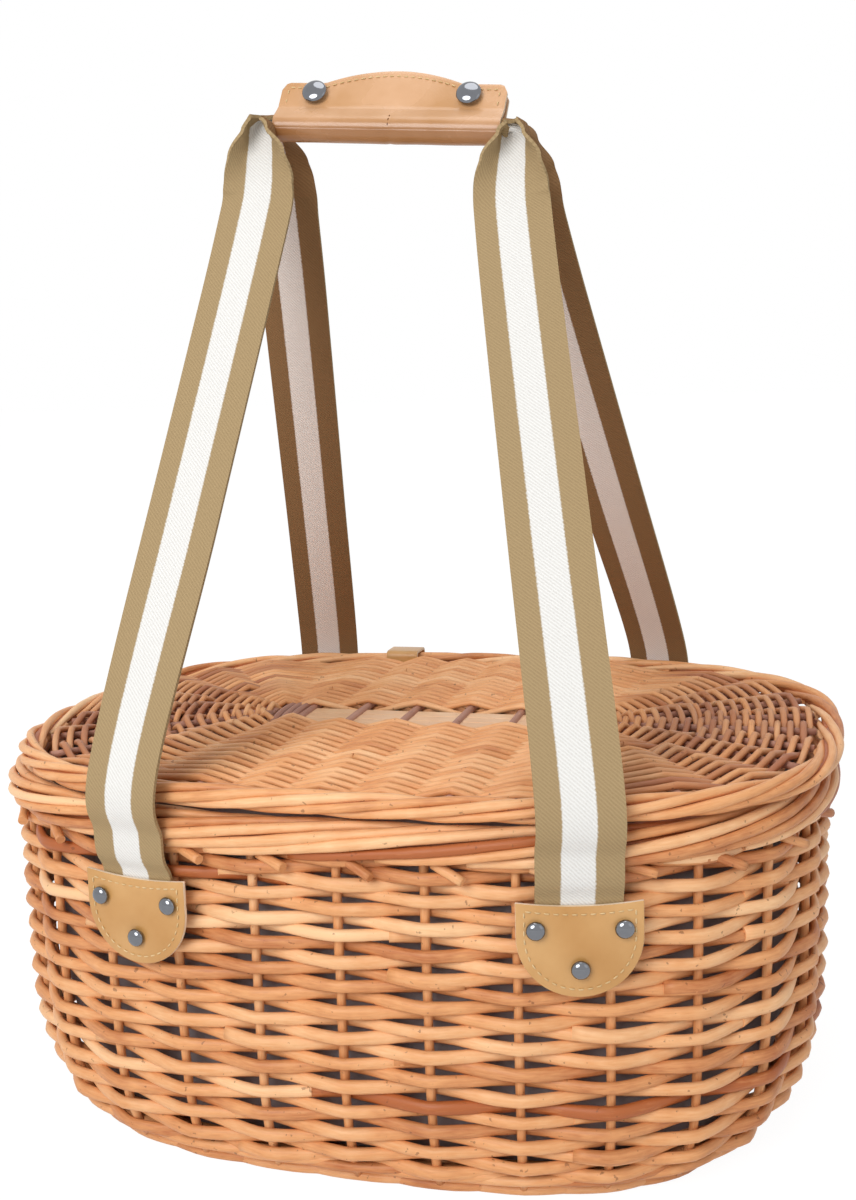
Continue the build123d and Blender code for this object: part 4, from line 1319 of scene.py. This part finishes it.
liningWallObject, liningEdge = liningWall()
dress(liningWallObject, "basket", "lining_cloth", "lining")
liningFloorObject = liningFloor(liningEdge)
dress(liningFloorObject, "basket", "lining_cloth")
print("lining hung")

# Grip: its directions, then two pieces of leather, their stitches and the caps
grip = {
    "centre": (-8.0, -4.0, 504.5), "length": 120.0, "tilt": 5.0, "lean": 28.0, "roll": 7.6, "rollDrop": 5.2,
    "meeting": 4.4, "endHeight": 19.6, "midHeight": 27.2, "archHalf": 37.0, "fold": 215.0, "gap": 4.0,
    "seamAt": 2.0, "seamWidth": 0.9, "thickness": 2.0, "snapSpacing": 82.0, "snapHeight": 12.2,
    "cornerFrom": 55.5, "corner": 4.5, "rollPoints": 22, "panelPoints": 4, "tuckedIn": 0.93,
    "columns": 60, "panelRows": 12, "stitchInset": 3.2, "stitchHalf": 56,
}
tilt, lean = math.radians(grip["tilt"]), math.radians(grip["lean"])
gripAlong = Vector((math.cos(tilt), 0, -math.sin(tilt)))
gripUp = Vector((math.sin(tilt), 0, math.cos(tilt))) * math.cos(lean) + Vector((0, 1, 0)) * math.sin(lean)
gripBack = gripUp.cross(gripAlong)
gripCentre = Vector(grip["centre"])
panelOut = grip["gap"] / 2 + grip["thickness"]


def gripPoint(along, back, up):
    return gripCentre + gripAlong * along + gripBack * back + gripUp * up


def gripSection(side):
    # Half of the leather's middle line in back and up: round the roll, then up a panel
    r = grip["roll"] - grip["thickness"] / 2
    x = grip["gap"] / 2 + grip["thickness"] / 2
    far = math.hypot(x, grip["meeting"] + grip["rollDrop"])
    leave = 90 + math.degrees(math.asin(x / far) + math.acos(r / far))
    first, last = (grip["fold"] + 7.0, leave) if side < 0 else (grip["fold"] - 1.0, 540 - leave)
    line = []
    for i in range(grip["rollPoints"]):
        turn = first + (last - first) * i / (grip["rollPoints"] - 1)
        tucked = r * (grip["tuckedIn"] if side < 0 and turn > grip["fold"] - 2 else 1.0)
        a = math.radians(turn)
        line.append((tucked * math.cos(a), -grip["rollDrop"] + tucked * math.sin(a)))
    x0, y0 = line[-1]
    for i in range(1, grip["panelPoints"] + 1):
        t = i / grip["panelPoints"]
        line.append((x0 + (side * x - x0) * t, y0 + (grip["meeting"] - y0) * t))
    for again in range(10):
        line[10:-1] = [
            tuple((line[k - 1][n] + 2 * line[k][n] + line[k + 1][n]) / 4 for n in (0, 1))
            for k in range(10, len(line) - 1)
        ]
    return line, side * x


def gripTop(along):
    # Height of the panels' top edge: level shoulders and an arch between the snaps
    if abs(along) >= grip["archHalf"]:
        corner = max(0.0, (abs(along) - grip["cornerFrom"]) / grip["corner"])
        return grip["endHeight"] - grip["corner"] * (1 - math.sqrt(max(0.0, 1 - corner ** 2)))
    rise = grip["midHeight"] - grip["endHeight"]
    radius = (grip["archHalf"] ** 2 + rise ** 2) / (2 * rise)
    return grip["midHeight"] - radius + math.sqrt(radius ** 2 - along ** 2)


def gripLeatherPiece(name, side):
    line, panelX = gripSection(side)
    columns, panelRows = grip["columns"], grip["panelRows"]
    verts, faces = [], []
    per = len(line) + panelRows
    for i in range(columns + 1):
        along = -grip["length"] / 2 + grip["length"] * i / columns
        top = gripTop(along)
        groove = math.exp(-((along - grip["seamAt"]) / grip["seamWidth"]) ** 2)
        pinch = 0.4 * (2 * abs(along) / grip["length"]) ** 4 + 0.5 * groove
        for j, (back, up) in enumerate(line):
            puff = 0.35 * noise.noise(Vector((along * 0.06, back * 0.12, side * 3.0)))
            scale = 1 + (puff - pinch) * 0.09 * (1 if j < 24 else 0)
            up = -grip["rollDrop"] + (up + grip["rollDrop"]) * scale
            verts.append(gripPoint(along, back * scale, up) * mm)
        for j in range(1, panelRows + 1):
            up = grip["meeting"] + (top - grip["meeting"]) * j / panelRows
            bow = 0.25 * noise.noise(Vector((along * 0.05, up * 0.06, side * 5.0)))
            verts.append(gripPoint(along, panelX + bow, up) * mm)
    for i in range(columns):
        for j in range(per - 1):
            a, b = i * per + j, (i + 1) * per + j
            faces.append((a, b, b + 1, a + 1) if side < 0 else (a, a + 1, b + 1, b))
    obj = meshObject(name, [tuple(v) for v in verts], faces, gripLeather, cutLeather)
    # Painted shade on the roll: 1 at the first point of its line, by the fold, falling to 0 at the nineteenth
    # point round it
    paintedRollShade = obj.data.attributes.new("paintedRollShade", "FLOAT", "POINT")
    for i, value in enumerate(paintedRollShade.data):
        value.value = max(0.0, 1 - (i % per) / 19)
    thickness = (grip["thickness"] - 0.1) * mm
    applyModifier(obj, "SOLIDIFY", "leather", thickness=thickness, offset=0, material_offset_rim=1)
    softenEdges(obj, 0.45, 2, 60, 45)
    return obj


def gripStitches(name, side):
    out, half = gripBack * side, grip["stitchHalf"]
    arch = [half * (i / 30 - 1) for i in range(61)]
    runs = [([gripPoint(a, side * panelOut, gripTop(a) - grip["stitchInset"]) for a in arch], out)]
    for end in (-1, 1):
        heights = [5.4 + 11.0 * i / 5 for i in range(6)]
        runs.append(([gripPoint(end * (half + 0.2), side * panelOut, up) for up in heights], out))
    return stitches(name, runs, 2.4, 1.3, 0.36)


def seamStitches():
    # Small dark stitches down the middle of the roll's front
    r = grip["roll"] - 0.3
    middle = gripCentre - gripUp * grip["rollDrop"] + gripAlong * grip["seamAt"]
    angles = [math.radians(142 + 66 * i / 8) for i in range(9)]
    line = [middle + (gripBack * math.cos(a) + gripUp * math.sin(a)) * r for a in angles]
    return stitches("seamStitches", [(line, lambda p: p - middle)], 1.5, 0.9, 0.24, seamThread)


dress(gripLeatherPiece("gripWrap", 1), "rear_handle", "leather", "grip_wrap")
dress(gripLeatherPiece("gripFlap", -1), "grip_flap", "leather", "grip_flap")
dress(seamStitches(), "grip_flap", None)
dress(gripStitches("flapStitches", -1), "grip_flap", None)
dress(gripStitches("wrapStitches", 1), "rear_handle", None)
capPlanes = [
    planeAt(gripAlong, gripUp, -gripBack, gripPoint(along, -panelOut, grip["snapHeight"]) * mm)
    for along in (-grip["snapSpacing"] / 2, grip["snapSpacing"] / 2)
]
dress(copiesAt(domed("cap", cap), capPlanes, "snapCaps"), "grip_flap", "chrome", "snap_caps")
print("grip sewn")

# Webbing
strap = {
    "width": 38.0, "thickness": 1.7, "curl": 128.0, "nearGrip": 50.0, "gather": 11.0, "out": 6.5,
    "cornerDrop": 4.0, "apart": 1.0, "overhang": 3.0, "tail": 18.0, "across": 28, "stepsPerPart": 12,
    "seat": 1.05, "clear": 2.1, "aboveLid": 8.0, "narrowing": 0.9, "flattening": 1.6,
}


def strapSections(plane, front, hand):
    # From under the tab to the inside of the roll: place, across, facing and how far it is folded
    across = (plane.to_3x3() @ Vector((1, 0, 0))).normalized() * front
    outward = (plane.to_3x3() @ Vector((0, 0, 1))).normalized()
    origin = plane.translation / mm
    rest = strap["seat"]
    outside = basket["rimFace"] - basket["wallFace"] + strap["clear"]
    sections = []
    overLid = lidTop - tab["top"] + strap["aboveLid"]
    for rise, out in (
        (-34, rest), (-12, rest), (0.5, rest + 0.3), (9, outside - 0.9), (20, outside), (overLid, outside),
    ):
        sections.append((origin + Vector((0, 0, rise)) + outward * out, across, outward, 0.0))
    gripEnd = gripCentre + gripAlong * (hand * grip["length"] / 2) - gripUp * grip["rollDrop"]
    last = sections[-1][0]
    rising = (gripEnd - last).normalized()
    facing = gripAlong.cross(rising).normalized()
    if facing.dot(outward) < 0:
        facing = -facing

    def below(drop, sideways, share):
        # A place under the grip's end, moved along the grip and forward
        return gripEnd - rising * drop + gripAlong * (hand * sideways) + facing * strap["apart"] * share

    for share in (0.35, 0.7):
        side = across.lerp(gripAlong, 0.5 + 0.5 * share).normalized()
        sections.append((last.lerp(gripEnd, share), side, facing, 0.0))
    for drop, sideways, share, fold in (
        (strap["nearGrip"], 0.5, 0, 0.0), (36, 0.2 * strap["out"], 0.4, 0.14),
        (23, 0.5 * strap["out"], 0.7, 0.46), (strap["gather"], 0.8 * strap["out"], 1, 0.84),
    ):
        sections.append((below(drop, sideways, share), gripAlong, facing, fold))
    halfWay = (rising + gripUp).normalized()
    corner = gripEnd + gripAlong * (hand * strap["out"]) - halfWay * strap["cornerDrop"]
    side = (halfWay * hand + gripAlong).normalized()
    sections.append((corner + facing * strap["apart"], side, facing, 1.0))
    mouthBack = gripBack * (-front * strap["apart"])
    for along, fold in ((strap["overhang"], 1.42), (-strap["tail"], 1.45), (-grip["length"] / 2, 1.45)):
        sections.append((gripEnd + gripAlong * (hand * along) + mouthBack, gripUp * hand, facing, fold))
    return sections


def strapProfile(fold):
    # The strap's middle line across its width: both edges curl forward as it is gathered
    count, width = strap["across"], strap["width"]
    line, x, y = [], 0.0, 0.0
    for i in range(count + 1):
        line.append((x, y))
        u = (i + 0.5) / count
        ahead = 1 / (1 + math.exp(-(u - 0.7) * 17))
        behind = 1 / (1 + math.exp((u - 0.3) * 17))
        angle = math.radians(strap["curl"]) * min(fold, 1.0) * (ahead - behind)
        x += math.cos(angle) * width / count
        y += math.sin(angle) * width / count
    middle = line[count // 2]
    return [(a - middle[0], b - middle[1]) for a, b in line]


def strapLeg(sections):
    # The sections with smooth steps between them
    leg, end = [], len(sections) - 1
    for i in range(end):
        a, b, c, d = (sections[min(max(k, 0), end)] for k in (i - 1, i, i + 1, i + 2))
        for k in range(strap["stepsPerPart"]):
            t = k / strap["stepsPerPart"]
            eased = t * t * (3 - 2 * t)
            place = hermite(a[0], b[0], c[0], d[0], t)
            leg.append((place, b[1].lerp(c[1], eased), b[2].lerp(c[2], eased), b[3] + (c[3] - b[3]) * eased))
    return leg + [sections[-1]]


def strapMesh(name, planes, front):
    verts, faces, uvs = [], [], []
    across = strap["across"] + 1
    for hand, plane in zip((-1, 1), planes):
        leg = strapLeg(strapSections(plane, front, hand))
        base, run, runs = len(verts), 0.0, []
        for i, (place, side, face, fold) in enumerate(leg):
            run += (place - leg[max(i - 1, 0)][0]).length
            runs.append(run)
            along = (leg[min(i + 1, len(leg) - 1)][0] - leg[max(i - 1, 0)][0]).normalized()
            side = (side - along * side.dot(along)).normalized()
            out = side.cross(along).normalized()
            if out.dot(face) < 0:
                out = -out
            tight = max(0.0, fold - 1)
            narrow, flat = 1 - strap["narrowing"] * tight, 1 - strap["flattening"] * tight
            for x, y in strapProfile(fold):
                verts.append(place + side * (x * narrow) + out * (y * flat))
        for i in range(len(leg) - 1):
            for k in range(across - 1):
                a, b = base + i * across + k, base + (i + 1) * across + k
                faces.append((a, a + 1, b + 1, b)[::front])
                for kk, ii in ((k, i), (k + 1, i), (k + 1, i + 1), (k, i + 1))[::front]:
                    uvs.append(((kk / (across - 1) - 0.5) * strap["width"] * mm, runs[ii] * mm))
    obj = meshObject(name, [tuple(v * mm) for v in verts], faces, webbing, webbingShadedBack)
    setUvs(obj, "webbingUv", uvs)
    # The offset side takes the back's colours, with their painted shade and painted reflected light
    applyModifier(obj, "SOLIDIFY", "webbing", thickness=strap["thickness"] * mm, offset=0, material_offset=1)
    bpy.ops.object.shade_smooth_by_angle(angle=math.radians(50))
    return obj


# The front and rear straps, laid over their tabs, in place of their frame parts
for name, front in (("front", 1), ("rear", -1)):
    webbingObject = strapMesh(name + "Webbing", tabPlanes[name], front)
    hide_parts(*([name + "_webbing", "webbing_ends"] if front > 0 else [name + "_webbing"]))
    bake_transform(webbingObject)
print("webbing laid")

# CAD nodes that stay get their metal
for node in ("rivet_washers", "snap_studs"):
    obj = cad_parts[node]
    obj.data.materials.clear()
    obj.data.materials.append(steel)

print("finished")
